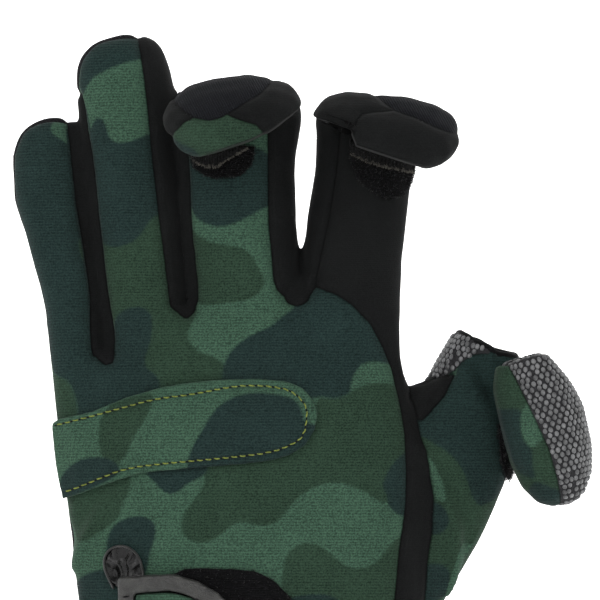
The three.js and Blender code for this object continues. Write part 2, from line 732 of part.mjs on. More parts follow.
function makeIndexCap() {
  const wall = placeCap(capWall(INDEX_CAP, CAP), CAP_POSES.index);
  const side = wall.subtract(capCut(INDEX_CAP_PALM, SEAM_GAP)).subtract(capCut(INDEX_CAP_BACK, SEAM_GAP));
  return {
    index_cap_palm: largestBody(wall.intersect(capCut(INDEX_CAP_PALM, 0))),
    index_cap_back: largestBody(
      wall.intersect(capCut(INDEX_CAP_BACK, 0)).subtract(capCut(INDEX_CAP_PALM, SEAM_GAP)),
    ),
    index_cap_gusset: largestBody(side),
  };
}

function makeThumbCap() {
  const wall = capWall(THUMB_CAP, THUMB_CAP_ROWS);
  const seam = THUMB_CAP_SEAM.map(({ thick, along }) => [
    thick * THUMB_CAP.thickness, along * THUMB_CAP.length,
  ]);
  const side = (grow) => prismAlongX([
    ...seam.map(([y, z]) => [y - grow, z]),
    [-REACH, seam.at(-1)[1]],
    [-REACH, seam[0][1]],
  ]);
  return {
    thumb_cap_back: placeCap(largestBody(wall.intersect(side(SEAM_GAP))), CAP_POSES.thumb),
    thumb_cap_grip: placeCap(largestBody(wall.subtract(side(0))), CAP_POSES.thumb),
  };
}

// The room that a cap takes, with its gap to what it lies on
const capSpace = ({ size, rows, pose }) => placeCap(capLoft(size, rows, SEAM_GAP), pose);

// Hook and loop patches that hold the caps back
function makePatches() {
  const { middle, index } = FINGERS;
  const loopTop = SEAM_GAP + PATCH_THICKNESS;
  const hookTop = loopTop + SEAM_GAP + PATCH_THICKNESS;
  const [middleCap, indexCap, thumbCap] = CAPS.map(capSpace);
  const thumbSet = THUMB.rows.at(-1).set * THUMB_DEPTH;
  const loop = (form, outline, front) => skin(form, SEAM_GAP, loopTop, outline.map(onHand), front);
  const hook = (form, outline) => skin(form, loopTop + SEAM_GAP, hookTop, outline.map(onHand), 0);
  return {
    middle_loop_patch: largestBody(loop(fingerSkin(middle), MIDDLE_PATCH, 0).subtract(middleCap)),
    middle_hook_patch: largestBody(hook(fingerSkin(middle), MIDDLE_HOOK).subtract(middleCap)),
    index_loop_patch: largestBody(loop(fingerSkin(index), INDEX_PATCH, 0).subtract(indexCap)),
    index_hook_patch: largestBody(hook(fingerSkin(index), INDEX_HOOK).subtract(indexCap)),
    thumb_loop_patch: largestBody(loop(thumbLoft, THUMB_PATCH, thumbSet).subtract(thumbCap)),
  };
}

// Pieces on the back of the hand and at the wrist
function makeClosure() {
  const patchTop = SEAM_GAP + PATCH_THICKNESS;
  const strapLow = patchTop + SEAM_GAP;
  const strap = STRAP.map(onHand);
  const patch = WRIST_PATCH.map(onHand);
  const loop = PULL_LOOP.map(onHand);
  const patchSpace = handLoft(strapLow).intersect(prism(outset(patch, SEAM_GAP), -REACH, 0));
  const strapSkin = (outline, top) => skin(handLoft, SEAM_GAP, top, outline, 0).subtract(patchSpace);
  const inner = inset(strap, BINDING_WIDTH);
  const strapSpace = prism(outset(strap, SEAM_GAP), -REACH, 0);
  const loopHole = prism(inset(loop, PULL_LOOP_BAND), -REACH, 0);
  return {
    knuckle_pad: skin(handLoft, SEAM_GAP, SEAM_GAP + PAD_THICKNESS, PAD.map(onHand), -SEAM_GAP),
    wrist_loop_patch: skin(handLoft, SEAM_GAP, patchTop, patch, 0),
    wrist_strap: strapSkin(inset(strap, BINDING_WIDTH + SEAM_GAP), strapLow + STRAP_THICKNESS),
    strap_binding: strapSkin(strap, strapLow + BINDING_THICKNESS).subtract(prism(inner, -REACH, 0)),
    pull_loop: largestBody(
      skin(handLoft, SEAM_GAP, SEAM_GAP + PULL_LOOP_THICKNESS, loop, 0).subtract(loopHole)
        .subtract(strapSpace).subtract(patchSpace),
    ),
    cuff_hem: handLoft(HEM_THICKNESS).subtract(handLoft(-WALL))
      .intersect(block([-REACH, -REACH, 0], [REACH, REACH, HEM_HEIGHT])),
  };
}

const FINISHES = {
  back_panel: COLOURS.camo,
  index_back_panel: COLOURS.neoprene,
  web_panel: COLOURS.neoprene,
  thumb_back_panel: COLOURS.camo,
  palm_panel: COLOURS.knit,
  fourchette_pinky_ring: COLOURS.neoprene,
  fourchette_ring_middle: COLOURS.neoprene,
  fourchette_middle_index: COLOURS.neoprene,
  thumb_grip_panel: COLOURS.grip,
  middle_cap_palm: COLOURS.knit,
  middle_cap_back: COLOURS.camo,
  middle_cap_gusset_left: COLOURS.neoprene,
  middle_cap_gusset_right: COLOURS.neoprene,
  index_cap_palm: COLOURS.knit,
  index_cap_back: COLOURS.neoprene,
  index_cap_gusset: COLOURS.neoprene,
  thumb_cap_back: COLOURS.camo,
  thumb_cap_grip: COLOURS.grip,
  middle_loop_patch: COLOURS.loop,
  middle_hook_patch: COLOURS.hook,
  index_loop_patch: COLOURS.loop,
  index_hook_patch: COLOURS.hook,
  thumb_loop_patch: COLOURS.loop,
  knuckle_pad: COLOURS.camo,
  wrist_loop_patch: COLOURS.loop,
  wrist_strap: COLOURS.camo,
  strap_binding: COLOURS.binding,
  pull_loop: COLOURS.gloss,
  cuff_hem: COLOURS.neoprene,
};

const group = new THREE.Group();

function addMesh(name, solid) {
  const mesh = solid.getMesh();
  const geometry = new THREE.BufferGeometry();
  geometry.setAttribute('position', new THREE.BufferAttribute(mesh.vertProperties, 3));
  geometry.setIndex(new THREE.BufferAttribute(mesh.triVerts, 1));
  const [color, roughness] = FINISHES[name];
  const node = new THREE.Mesh(geometry, new THREE.MeshStandardMaterial({ color, roughness, metalness: 0 }));
  node.name = name;
  group.add(node);
}

const pieces = {
  ...makePanels(),
  ...makeMiddleCap(),
  ...makeIndexCap(),
  ...makeThumbCap(),
  ...makePatches(),
  ...makeClosure(),
};
for (const [name, solid] of Object.entries(pieces)) addMesh(name, solid);

export default group;
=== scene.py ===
# Fold-back fishing glove, dressed over its CAD model: neoprene panels, folded caps, patches and stitching.
import itertools
import math

import bmesh
import bpy
import numpy as np
from mathutils import Matrix, Vector, noise
from mathutils.bvhtree import BVHTree
from mathutils.kdtree import KDTree


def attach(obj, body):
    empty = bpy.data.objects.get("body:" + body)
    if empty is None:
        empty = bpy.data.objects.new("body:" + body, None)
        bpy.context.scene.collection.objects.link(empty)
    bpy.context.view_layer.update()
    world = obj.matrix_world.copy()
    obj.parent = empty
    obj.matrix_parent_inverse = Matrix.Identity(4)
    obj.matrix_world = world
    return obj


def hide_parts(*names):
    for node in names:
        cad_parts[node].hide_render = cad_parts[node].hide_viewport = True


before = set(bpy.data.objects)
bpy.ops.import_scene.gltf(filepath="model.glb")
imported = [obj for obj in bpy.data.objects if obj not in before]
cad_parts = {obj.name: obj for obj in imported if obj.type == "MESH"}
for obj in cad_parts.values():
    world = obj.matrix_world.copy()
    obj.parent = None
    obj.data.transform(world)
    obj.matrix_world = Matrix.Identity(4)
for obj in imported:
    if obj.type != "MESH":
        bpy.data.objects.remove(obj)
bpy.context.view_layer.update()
MM = 0.001

# The photograph's pixels on the object's plane
PIXEL = 0.27 * MM
PHOTO_X = 255
PHOTO_Z = 830
PHOTO_SIDE = 600

SHELL = ["back_panel", "index_back_panel", "web_panel", "thumb_back_panel", "palm_panel",
         "fourchette_pinky_ring", "fourchette_ring_middle", "fourchette_middle_index", "thumb_grip_panel"]
MIDDLE_CAP = ["middle_cap_palm", "middle_cap_back", "middle_cap_gusset_left", "middle_cap_gusset_right"]
INDEX_CAP = ["index_cap_palm", "index_cap_back", "index_cap_gusset"]
THUMB_CAP = ["thumb_cap_back", "thumb_cap_grip"]


def spot(px, py):
    """Where a pixel of the photograph lies on the object's plane."""
    return (px - PHOTO_X) * PIXEL, (PHOTO_Z - py) * PIXEL


def pixels(x, z):
    """The photograph's pixel of each place."""
    return x / PIXEL + PHOTO_X, PHOTO_Z - z / PIXEL


# ---- Camera, light and floor

CAMERA_DISTANCE = 1.3
WORLD_LIGHT = 0.24
LIGHTS = (
    ("key_light", (-0.55, -0.85, 0.85), 0.7, 5.5),
    ("fill_light", (0.8, -0.7, 0.35), 0.8, 1.3),
    ("back_light", (0.1, 0.25, 0.9), 0.5, 1.2),
)
LIT_HEIGHT = 0.12
# The round paper sweep: radius of its flat middle, its reach, height and bend, and how finely it is drawn
SWEEP_MIDDLE, SWEEP_REACH, SWEEP_HEIGHT, SWEEP_BEND = 0.6, 2.4, 3.0, 0.8
SWEEP_STEPS, SWEEP_TURNS = 8, 40
# The paper glows more towards the back
GLOW_PLACES = (-1.2, 1.2)
GLOW_STRENGTHS = (0.12, 0.8)


def make_stage():
    scene = bpy.context.scene
    scene.view_settings.view_transform = "Standard"
    x, z = spot(PHOTO_SIDE / 2, PHOTO_SIDE / 2)
    camera = bpy.data.objects.new("camera", bpy.data.cameras.new("camera"))
    camera.data.lens = camera.data.sensor_width * CAMERA_DISTANCE / (PHOTO_SIDE * PIXEL)
    camera.location = (x, -CAMERA_DISTANCE, z)
    camera.rotation_euler = (math.pi / 2, 0, 0)
    scene.collection.objects.link(camera)
    scene.camera = camera

    world = bpy.data.worlds.new("studio")
    scene.world = world
    world.use_nodes = True
    sky = world.node_tree.nodes["Background"]
    sky.inputs["Color"].default_value = (1, 1, 1, 1)
    sky.inputs["Strength"].default_value = WORLD_LIGHT
    for name, place, size, power in LIGHTS:
        light = bpy.data.objects.new(name, bpy.data.lights.new(name, "AREA"))
        light.data.size = size
        light.data.energy = power
        light.location = place
        aim = Vector((x, 0, LIT_HEIGHT)) - light.location
        light.rotation_euler = aim.to_track_quat("-Z", "Y").to_euler()
        scene.collection.objects.link(light)

    flat = SWEEP_REACH - SWEEP_BEND
    profile = [(SWEEP_MIDDLE, 0), (flat, 0)]
    for k in range(1, SWEEP_STEPS + 1):
        turn = k / SWEEP_STEPS * math.pi / 2
        profile.append((flat + SWEEP_BEND * math.sin(turn), SWEEP_BEND - SWEEP_BEND * math.cos(turn)))
    profile.append((SWEEP_REACH, SWEEP_HEIGHT))
    corners = [(0, 0, 0)]
    for out, up in profile:
        for k in range(SWEEP_TURNS):
            turn = math.tau * k / SWEEP_TURNS
            corners.append((out * math.cos(turn), out * math.sin(turn), up))
    faces = [(0, 1 + k, 1 + (k + 1) % SWEEP_TURNS) for k in range(SWEEP_TURNS)]
    faces += [quad[::-1] for quad in ring_faces(1, len(profile), SWEEP_TURNS)]
    sweep = link_mesh("studio_floor", corners, faces)
    paper = Look("studio_paper", roughness=0.9)
    depth = paper.add("ShaderNodeSeparateXYZ", Vector=paper.place).outputs["Y"]
    glow = paper.range(depth, *GLOW_PLACES, *GLOW_STRENGTHS)
    paper.feed(paper.shader.inputs["Emission Color"], (1, 1, 1, 1))
    paper.feed(paper.shader.inputs["Emission Strength"], glow)
    sweep.data.materials.append(paper.finish((0.9, 0.9, 0.9, 1)))


# ---- Mesh helpers

def ring_faces(base, rings, sides, closed=False):
    """Quads between rings of points that follow each other, the last joined to the first where closed."""
    faces = []
    for ring in range(rings if closed else rings - 1):
        here, there = base + ring * sides, base + (ring + 1) % rings * sides
        faces += [(here + s, here + (s + 1) % sides, there + (s + 1) % sides, there + s) for s in range(sides)]
    return faces


def link_mesh(name, verts, faces):
    mesh = bpy.data.meshes.new(name)
    mesh.from_pydata([tuple(v) for v in verts], [], faces)
    mesh.polygons.foreach_set("use_smooth", [True] * len(mesh.polygons))
    mesh.update()
    piece = bpy.data.objects.new(name, mesh)
    bpy.context.scene.collection.objects.link(piece)
    return piece


def add_piece(name, verts, faces, slot, looks, face_looks=None):
    piece = link_mesh(name, verts, faces)
    for look in looks:
        piece.data.materials.append(look)
    if face_looks is not None:
        piece.data.polygons.foreach_set("material_index", face_looks)
    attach(piece, "root")
    return piece


def node_bmesh(name, grow=0.0):
    """A CAD node's closed mesh, grown outwards by a little where asked."""
    bm = bmesh.new()
    bm.from_mesh(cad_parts[name].data)
    bmesh.ops.remove_doubles(bm, verts=bm.verts, dist=1e-6)
    bm.normal_update()
    if grow:
        for v in bm.verts:
            v.co += v.normal * grow
    return bm


HULL_INSET = 0.5 * MM
# A distance longer than any on the glove, in metres
FAR = 1.0


def hull_of(points):
    """Closed convex mesh round some points, a little inside them."""
    centre = sum(points, Vector()) / len(points)
    bm = bmesh.new()
    for p in points:
        away = p - centre
        bm.verts.new(centre + away * max(0.0, 1 - HULL_INSET / max(away.length, MM)))
    found = bmesh.ops.convex_hull(bm, input=bm.verts)
    loose = [g for g in found["geom_interior"] + found["geom_unused"] if isinstance(g, bmesh.types.BMVert)]
    bmesh.ops.delete(bm, geom=list(set(loose)), context="VERTS")
    bmesh.ops.recalc_face_normals(bm, faces=bm.faces)
    return bm


def remeshed(parts, voxel):
    """Vertices, triangles and edges of one even skin round some closed meshes."""
    whole = bmesh.new()
    for part in parts:
        holder = bpy.data.meshes.new("holder")
        part.to_mesh(holder)
        whole.from_mesh(holder)
        bpy.data.meshes.remove(holder)
    mesh = bpy.data.meshes.new("form")
    whole.to_mesh(mesh)
    whole.free()
    form = bpy.data.objects.new("form", mesh)
    bpy.context.scene.collection.objects.link(form)
    remesh = form.modifiers.new("remesh", "REMESH")
    remesh.mode = "VOXEL"
    remesh.voxel_size = voxel
    done = form.evaluated_get(bpy.context.evaluated_depsgraph_get()).to_mesh()
    done.calc_loop_triangles()
    out = []
    for items, key, width, kind in ((done.vertices, "co", 3, float), (done.loop_triangles, "vertices", 3, int),
                                    (done.edges, "vertices", 2, int)):
        values = np.empty(len(items) * width, dtype=kind)
        items.foreach_get(key, values)
        out.append(values.reshape(-1, width))
    bpy.data.objects.remove(form)
    bpy.data.meshes.remove(mesh)
    return out


def spread(values, edges, steps):
    """Values averaged with their neighbours, over and over."""
    ends = np.concatenate([edges[:, 0], edges[:, 1]])
    others = np.concatenate([edges[:, 1], edges[:, 0]])
    order = np.argsort(ends, kind="stable")
    others = others[order]
    starts = np.searchsorted(ends[order], np.arange(len(values)))
    count = np.bincount(ends, minlength=len(values)).astype(float)
    if values.ndim == 2:
        count = count[:, None]
    for _ in range(steps):
        values = 0.5 * values + 0.5 * np.add.reduceat(values[others], starts, axis=0) / count
    return values


def evened(verts, edges, steps):
    """Smoothed without shrinking the broad form."""
    once = spread(verts, edges, steps)
    return once + spread(verts - once, edges, steps)


def sides_of(tris):
    return np.concatenate([tris[:, [0, 1]], tris[:, [1, 2]], tris[:, [2, 0]]])


def normals_of(verts, tris):
    a, b, c = (verts[tris[:, k]] for k in range(3))
    face = np.cross(b - a, c - a)
    out = np.zeros_like(verts)
    for axis in range(3):
        for k in range(3):
            out[:, axis] += np.bincount(tris[:, k], weights=face[:, axis], minlength=len(verts))
    return out / np.maximum(np.linalg.norm(out, axis=1), 1e-12)[:, None]


def distances(points, forms, reach=6 * MM):
    """Distance of each point from each form, where it is within reach of the form's box."""
    out = np.full((len(points), len(forms)), FAR)
    for k, bm in enumerate(forms):
        corners = np.array([v.co for v in bm.verts])
        low = corners.min(axis=0) - reach
        high = corners.max(axis=0) + reach
        tree = BVHTree.FromBMesh(bm)
        for i in np.flatnonzero(np.all((points > low) & (points < high), axis=1)):
            out[i, k] = tree.find_nearest(points[i])[3]
    return out


def split(verts, tris, gaps):
    """Moves the points nearest a seam on to it. Returns each triangle's form and the points on seams."""
    label = gaps.argmin(axis=1)
    edges = np.unique(np.sort(sides_of(tris), axis=1), axis=0)
    a, b = edges[label[edges[:, 0]] != label[edges[:, 1]]].T
    at_a = gaps[a, label[a]] - gaps[a, label[b]]
    at_b = gaps[b, label[a]] - gaps[b, label[b]]
    share = (at_a / np.where(at_a == at_b, 1, at_a - at_b)).clip(0, 1)
    crossing = verts[a] + (verts[b] - verts[a]) * share[:, None]
    near = np.where(share < 0.5, a, b)
    count = np.bincount(near, minlength=len(verts))
    on_seam = count > 0
    moved = verts.copy()
    for axis in range(3):
        total = np.bincount(near, weights=crossing[:, axis], minlength=len(verts))
        moved[on_seam, axis] = total[on_seam] / count[on_seam]
    free = np.where(on_seam[tris], 0.0, 1.0)
    free[free.sum(axis=1) == 0] = 1.0
    owner = (gaps[tris] * free[:, :, None]).sum(axis=1).argmin(axis=1)
    return moved, owner, on_seam


def seam_distance(verts, points, reach):
    """Distance of each vertex from the nearest of some points, or reach where they are farther."""
    tree = KDTree(len(points))
    for k, p in enumerate(points):
        tree.insert(p, k)
    tree.balance()
    low = points.min(axis=0) - reach
    high = points.max(axis=0) + reach
    out = np.full(len(verts), reach)
    for i in np.flatnonzero(np.all((verts > low) & (verts < high), axis=1)):
        out[i] = min(reach, tree.find(verts[i])[2])
    return out


def rough(verts, size, seed):
    """Smooth noise between -1 and 1, with lumps of this size."""
    shift = Vector((seed * 3.1, seed * 1.7, seed * 5.3))
    return np.array([noise.noise(Vector(v) / size + shift) for v in verts])


def along_line(verts, line):
    """Distance in the photograph's plane from a line of pixels."""
    points = np.array([spot(*p) for p in line])
    flat = verts[:, [0, 2]]
    out = np.full(len(verts), FAR)
    for start, end in zip(points[:-1], points[1:]):
        side = end - start
        share = ((flat - start) @ side / (side @ side)).clip(0, 1)
        out = np.minimum(out, np.linalg.norm(flat - start - share[:, None] * side, axis=1))
    return out


# ---- Camouflage

# Printed patches in painting order, traced as loose outlines in the photograph's pixels:
# L light green, O olive, D dark teal. The cloth under them is light green. Along some folds the light green is
# a painted highlight: the thumb's two L strips and the bare cloth on the cuff's fold.
HAND_PRINT = [
    ("O", [(80, 225), (175, 195), (182, 300), (199, 310), (191, 325), (188, 334), (191, 344), (201, 352),
        (212, 355), (224, 363), (234, 372), (232, 395), (150, 412), (140, 330), (105, 330)]),
    ("O", [(180, 228), (192, 231), (201, 237), (211, 243), (227, 246), (242, 248), (251, 254), (257, 263),
        (264, 275), (266, 285), (258, 295), (245, 301), (225, 303), (205, 306), (190, 300), (180, 280)]),
    ("D", [(0, 95), (98, 100), (100, 300), (110, 332), (116, 322), (122, 311), (136, 306), (147, 308),
        (154, 317), (154, 338), (147, 355), (147, 367), (157, 373), (162, 382), (160, 394), (145, 404),
        (110, 418), (80, 430), (79, 412), (76, 396), (73, 384), (65, 378), (40, 377), (10, 300), (-10, 200)]),
    ("L", [(54, 122), (58, 115), (68, 115), (80, 120), (80, 146), (72, 143), (65, 141), (55, 136),
        (51, 129)]),
    ("O", [(82, 240), (90, 238), (92, 262), (84, 258)]),
    ("O", [(30, 372), (64, 377), (73, 384), (77, 396), (79, 412), (80, 430), (30, 430)]),
    ("D", [(60, 15), (170, 15), (170, 56), (144, 60), (124, 64.5), (106, 72), (92, 79), (82, 88), (74, 95),
        (60, 95)]),
    ("D", [(76, 146), (87, 134), (92, 125), (97, 119), (102, 119), (107, 127), (110, 138), (117, 144),
        (128, 144), (137, 140), (152, 134), (172, 128), (176, 207), (163, 213), (154, 218), (147, 227),
        (142, 236), (133, 243), (120, 248), (109, 247), (100, 242), (84, 234)]),
    ("D", [(176, 146), (278, 146), (280, 202), (269, 206), (260, 211), (249, 218), (233, 225), (220, 228),
        (208, 225), (199, 220), (193, 212), (188, 208), (176, 204)]),
    ("D", [(222, 374), (227, 358), (235, 348), (246, 338), (260, 331), (273, 325), (281, 317), (292, 310),
        (300, 298), (308, 276), (340, 276), (405, 330), (405, 362), (388, 364), (374, 360), (362, 363),
        (353, 373), (350, 387), (351, 391), (343, 396), (331, 398), (317, 395), (300, 402), (260, 402),
        (224, 388)]),
    ("O", [(205, 458), (316, 430), (316, 394), (331, 398), (343, 396), (351, 391), (361, 385), (374, 382),
        (388, 383), (412, 388), (414, 498), (385, 501), (376, 498), (366, 491), (349, 483), (333, 480),
        (317, 483), (308, 488), (296, 497), (285, 510), (275, 520), (262, 524), (248, 520), (239, 519),
        (231, 523), (218, 535), (203, 541), (189, 536), (183, 528), (184, 514), (189, 505), (197, 495),
        (204, 486), (206, 478)]),
    ("D", [(147, 472), (158, 482), (166, 490), (174, 492), (182, 488), (191, 480), (205, 474), (211, 464),
        (200, 455), (150, 458)]),
    # Painted highlight: the bare light green left between this patch and the dark ones below, near pixels
    # (75-105, 540-570), stands for the lit crest of the cuff's fold
    ("O", [(50, 497), (98, 476), (134, 470), (130, 491), (124, 501), (122, 513), (115, 521), (100, 531),
        (82, 543), (60, 530)]),
    ("D", [(109, 536), (113, 527), (120, 520), (130, 515), (143, 513), (153, 517), (157, 524), (156, 534),
        (152, 547), (150, 562), (147, 573), (126, 588), (107, 562)]),
    ("D", [(386, 492), (381, 484), (385, 472), (389, 466), (396, 457), (404, 452), (416, 452), (416, 516),
        (402, 515), (394, 511), (388, 504)]),
    ("O", [(285, 555), (292, 545), (302, 540), (313, 540), (323, 544), (335, 555), (345, 563), (355, 566),
        (368, 564), (378, 557), (386, 546), (396, 536), (414, 528), (414, 640), (345, 652), (300, 640),
        (284, 600), (282, 575)]),
    ("D", [(268, 640), (284, 598), (290, 593), (311, 590), (331, 591), (343, 600), (352, 622), (345, 662),
        (290, 668)]),
    ("D", [(40, 586), (78, 577), (90, 571), (105, 566), (128, 574), (138, 600), (140, 640), (104, 668),
        (40, 655)]),
    ("O", [(120, 690), (160, 668), (205, 676), (238, 700), (230, 738), (180, 752), (134, 735)]),
    ("D", [(250, 700), (290, 690), (326, 705), (338, 740), (318, 775), (268, 780), (240, 745)]),
    ("D", [(360, 700), (410, 684), (420, 760), (378, 768), (352, 738)]),
    ("O", [(60, 760), (120, 748), (160, 775), (200, 790), (200, 830), (60, 830)]),
]
PAD_PRINT = [
    ("O", [(103, 418), (112, 403), (130, 396), (158, 390), (151, 411), (147, 419), (138, 432), (132, 445),
        (124, 459), (116, 464), (104, 457), (101, 445)]),
    ("D", [(52, 492), (65, 472), (73, 464), (82, 458), (95, 455), (107, 456), (117, 460), (122, 466),
        (119, 474), (100, 484), (80, 492), (60, 500)]),
    ("D", [(188, 474), (190, 454), (195, 441), (204, 426), (212, 413), (224, 401), (239, 394), (256, 391),
        (273, 393), (287, 395), (297, 401), (302, 411), (304, 421), (322, 424), (318, 444), (300, 456),
        (270, 466), (230, 472)]),
]
THUMB_PRINT = [
    ("O", [(380, 380), (560, 380), (560, 700), (380, 700)]),
    # Painted highlight: this light green strip lies on the crest of the thumb's raised fold (SHELL_FOLDS' first
    # line)
    ("L", [(421, 447), (428, 456), (438, 470), (446, 488), (444, 502), (436, 500), (427, 496), (422, 475)]),
    ("D", [(392, 418), (438, 382), (444, 362), (456, 320), (580, 320), (580, 470), (530, 498), (498, 503),
        (489, 506), (480, 504), (473, 497), (470, 488), (466, 474), (456, 458), (440, 447), (424, 436),
        (405, 430)]),
    ("D", [(424, 498), (436, 502), (443, 508), (448, 517), (447, 526), (441, 533), (424, 535)]),
    ("D", [(410, 567), (428, 563), (440, 562), (450, 570), (452, 586), (446, 606), (430, 625), (410, 625)]),
    # Painted highlight: light green beside the same raised fold, lower down, where it catches the light
    ("L", [(455, 560), (468, 548), (490, 540), (480, 590), (458, 620), (450, 600)]),
    ("D", [(396, 650), (420, 640), (438, 650), (434, 690), (396, 700)]),
]
THUMB_CAP_PRINT = [
    ("O", [(480, 330), (620, 330), (620, 540), (480, 540)]),
    ("L", [(519, 408), (526, 402), (534, 409), (545, 426), (541, 435), (528, 447), (521, 440), (517, 424)]),
    ("D", [(488, 408), (503, 408), (519, 407), (517, 422), (520, 440), (528, 447), (528, 462), (534, 478),
        (516, 472), (500, 440)]),
    ("D", [(530, 478), (545, 483), (558, 489), (568, 491), (600, 490), (600, 525), (545, 520), (524, 495)]),
]
MIDDLE_CAP_PRINT = [
    ("O", [(150, 60), (320, 60), (320, 190), (150, 190)]),
    ("D", [(160, 138), (174, 139), (184, 148), (200, 154), (200, 170), (165, 165)]),
]


# How far a print's edge is measured, in pixels, and how it wavers
PRINT_REACH = 9
PRINT_WAVER = 1.6
WAVER_SIZE = 9 * MM
# The print wraps round the glove's sides from this depth on
WRAP_DEPTH = 8 * MM


def rounded_outline(outline):
    points = np.array(outline, dtype=float)
    for _ in range(2):
        after = np.roll(points, -1, axis=0)
        points = np.stack([0.75 * points + 0.25 * after, 0.25 * points + 0.75 * after], axis=1).reshape(-1, 2)
    return points


def outline_distance(flat, outline):
    """Signed distance of points from a closed outline, negative inside."""
    points = rounded_outline(outline)
    best = np.full(len(flat), np.inf)
    inside = np.zeros(len(flat), dtype=bool)
    for start, end in zip(points, np.roll(points, -1, axis=0)):
        side = end - start
        share = ((flat - start) @ side / max(side @ side, 1e-9)).clip(0, 1)
        best = np.minimum(best, np.linalg.norm(flat - start - share[:, None] * side, axis=1))
        if start[1] != end[1]:
            spans = (start[1] > flat[:, 1]) != (end[1] > flat[:, 1])
            inside ^= spans & (flat[:, 0] < start[0] + side[0] * (flat[:, 1] - start[1]) / side[1])
    return np.where(inside, -best, best)


def printed(verts, normals, patches):
    """How far each point is outside the olive and the dark patches, in pixels."""
    wrap = normals[:, 0] * np.abs(normals[:, 0]) * np.maximum(verts[:, 1] + WRAP_DEPTH, 0)
    flat = np.stack(pixels(verts[:, 0] + wrap, verts[:, 2]), axis=1)
    flat[:, 0] += PRINT_WAVER * rough(verts, WAVER_SIZE, 4)
    olive = np.full(len(verts), float(PRINT_REACH))
    dark = olive.copy()
    for kind, outline in patches:
        box = np.array(outline)
        low, high = box.min(axis=0) - PRINT_REACH, box.max(axis=0) + PRINT_REACH
        near = np.flatnonzero(np.all((flat > low) & (flat < high), axis=1))
        if not len(near):
            continue
        gap = outline_distance(flat[near], outline).clip(-PRINT_REACH, PRINT_REACH)
        if kind == "O":
            olive[near] = np.minimum(olive[near], gap)
            dark[near] = np.maximum(dark[near], -gap)
        elif kind == "D":
            dark[near] = np.minimum(dark[near], gap)
        else:
            olive[near] = np.maximum(olive[near], -gap)
            dark[near] = np.maximum(dark[near], -gap)
    return olive, dark


def add_print(piece, verts, normals, patches):
    """Writes the print on a piece whose first points are these, and repeats it on its other side."""
    count = len(piece.data.vertices)
    for name, values in zip(("olive", "dark"), printed(verts, normals, patches)):
        layer = piece.data.attributes.new(name, "FLOAT", "POINT")
        layer.data.foreach_set("value", np.resize(values, count))


# ---- Materials

def linear(colour):
    """A colour of the screen, 0 to 255, as linear light."""
    return [((c / 255 + 0.055) / 1.055) ** 2.4 if c > 10 else c / 255 / 12.92 for c in colour] + [1.0]


class Look:
    """A material's node tree, built by short calls."""

    def __init__(self, name, roughness, sheen=0.0, sheen_roughness=0.5, specular=0.5):
        self.mat = bpy.data.materials.new(name)
        self.mat.use_nodes = True
        self.tree = self.mat.node_tree
        self.shader = self.tree.nodes["Principled BSDF"]
        self.shader.inputs["Roughness"].default_value = roughness
        self.shader.inputs["Sheen Weight"].default_value = sheen
        self.shader.inputs["Sheen Roughness"].default_value = sheen_roughness
        self.shader.inputs["Specular IOR Level"].default_value = specular
        self.place = self.add("ShaderNodeTexCoord").outputs["Object"]

    def add(self, kind, settings=(), **inputs):
        """A node with its settings, and its inputs fed by name or, as i0, i1 and so on, by number."""
        node = self.tree.nodes.new(kind)
        for key, value in dict(settings).items():
            setattr(node, key, value)
        for key, value in inputs.items():
            socket = node.inputs[int(key[1:])] if key[1:].isdigit() else node.inputs[key.replace("_", " ")]
            self.feed(socket, value)
        return node

    def feed(self, socket, value):
        if isinstance(value, bpy.types.NodeSocket):
            self.tree.links.new(value, socket)
        else:
            socket.default_value = value

    def math(self, operation, a, b=0.0):
        return self.add("ShaderNodeMath", {"operation": operation}, i0=a, i1=b).outputs[0]

    def noise(self, pitch, detail=2.0):
        return self.add("ShaderNodeTexNoise", Vector=self.place, Scale=1 / pitch, Detail=detail).outputs["Fac"]

    def mix(self, share, a, b, blend="MIX"):
        node = self.add("ShaderNodeMix", {"data_type": "RGBA", "blend_type": blend})
        self.feed(node.inputs[0], share)
        self.feed(node.inputs[6], a)
        self.feed(node.inputs[7], b)
        return node.outputs[2]

    def range(self, value, low, high, to_low=0.0, to_high=1.0):
        return self.add("ShaderNodeMapRange", i0=value, i1=low, i2=high, i3=to_low, i4=to_high).outputs[0]

    def ribs(self, pitch, angles, wander):
        """Even ribs across a direction, between 0 and 1."""
        turned = self.add("ShaderNodeMapping", Vector=self.place, Rotation=[math.radians(a) for a in angles])
        # At a scale of 1 the wave node repeats after pi / 10 metres
        node = self.add("ShaderNodeTexWave", {"wave_type": "BANDS", "bands_direction": "Z"},
                        Vector=turned.outputs[0], Scale=math.pi / 10 / pitch, Distortion=wander, Detail=1.0,
                        Detail_Scale=1.2)
        return node.outputs["Fac"]

    def cells(self, feature, pitch):
        return self.add("ShaderNodeTexVoronoi", {"feature": feature}, Vector=self.place,
                        Scale=1 / pitch).outputs["Distance"]

    def attribute(self, name):
        return self.add("ShaderNodeAttribute", {"attribute_name": name}).outputs["Fac"]

    def finish(self, colour, height=None, depth=0.0, strength=0.0):
        self.feed(self.shader.inputs["Base Color"], colour)
        if height is not None:
            bump = self.add("ShaderNodeBump", Height=height, Strength=strength, Distance=depth)
            self.feed(self.shader.inputs["Normal"], bump.outputs[0])
        return self.mat


# Edge of the print on the cloth: half its width and the fraying of it, in pixels
PRINT_EDGE = 1.4
PRINT_FRAY = 3.0
# What the cloth looks share: grain, fading, the darkening at seams and under tucked edges, and the relief's
# depth. The darkening is a dark seam line with painted groove shade, and painted shade under the tucks
GRAIN_PITCH, FADE_PITCH, FADE_DEPTH = 0.42 * MM, 14 * MM, 0.1
SEAM_FROM, SEAM_TO, SEAM_AND_SHADE_TONE = 0.45, 0.9, 0.3
CLOTH_RELIEF = 0.12 * MM
# Blender's noise stays mostly between these
NOISE_LOW, NOISE_HIGH = 0.3, 0.7


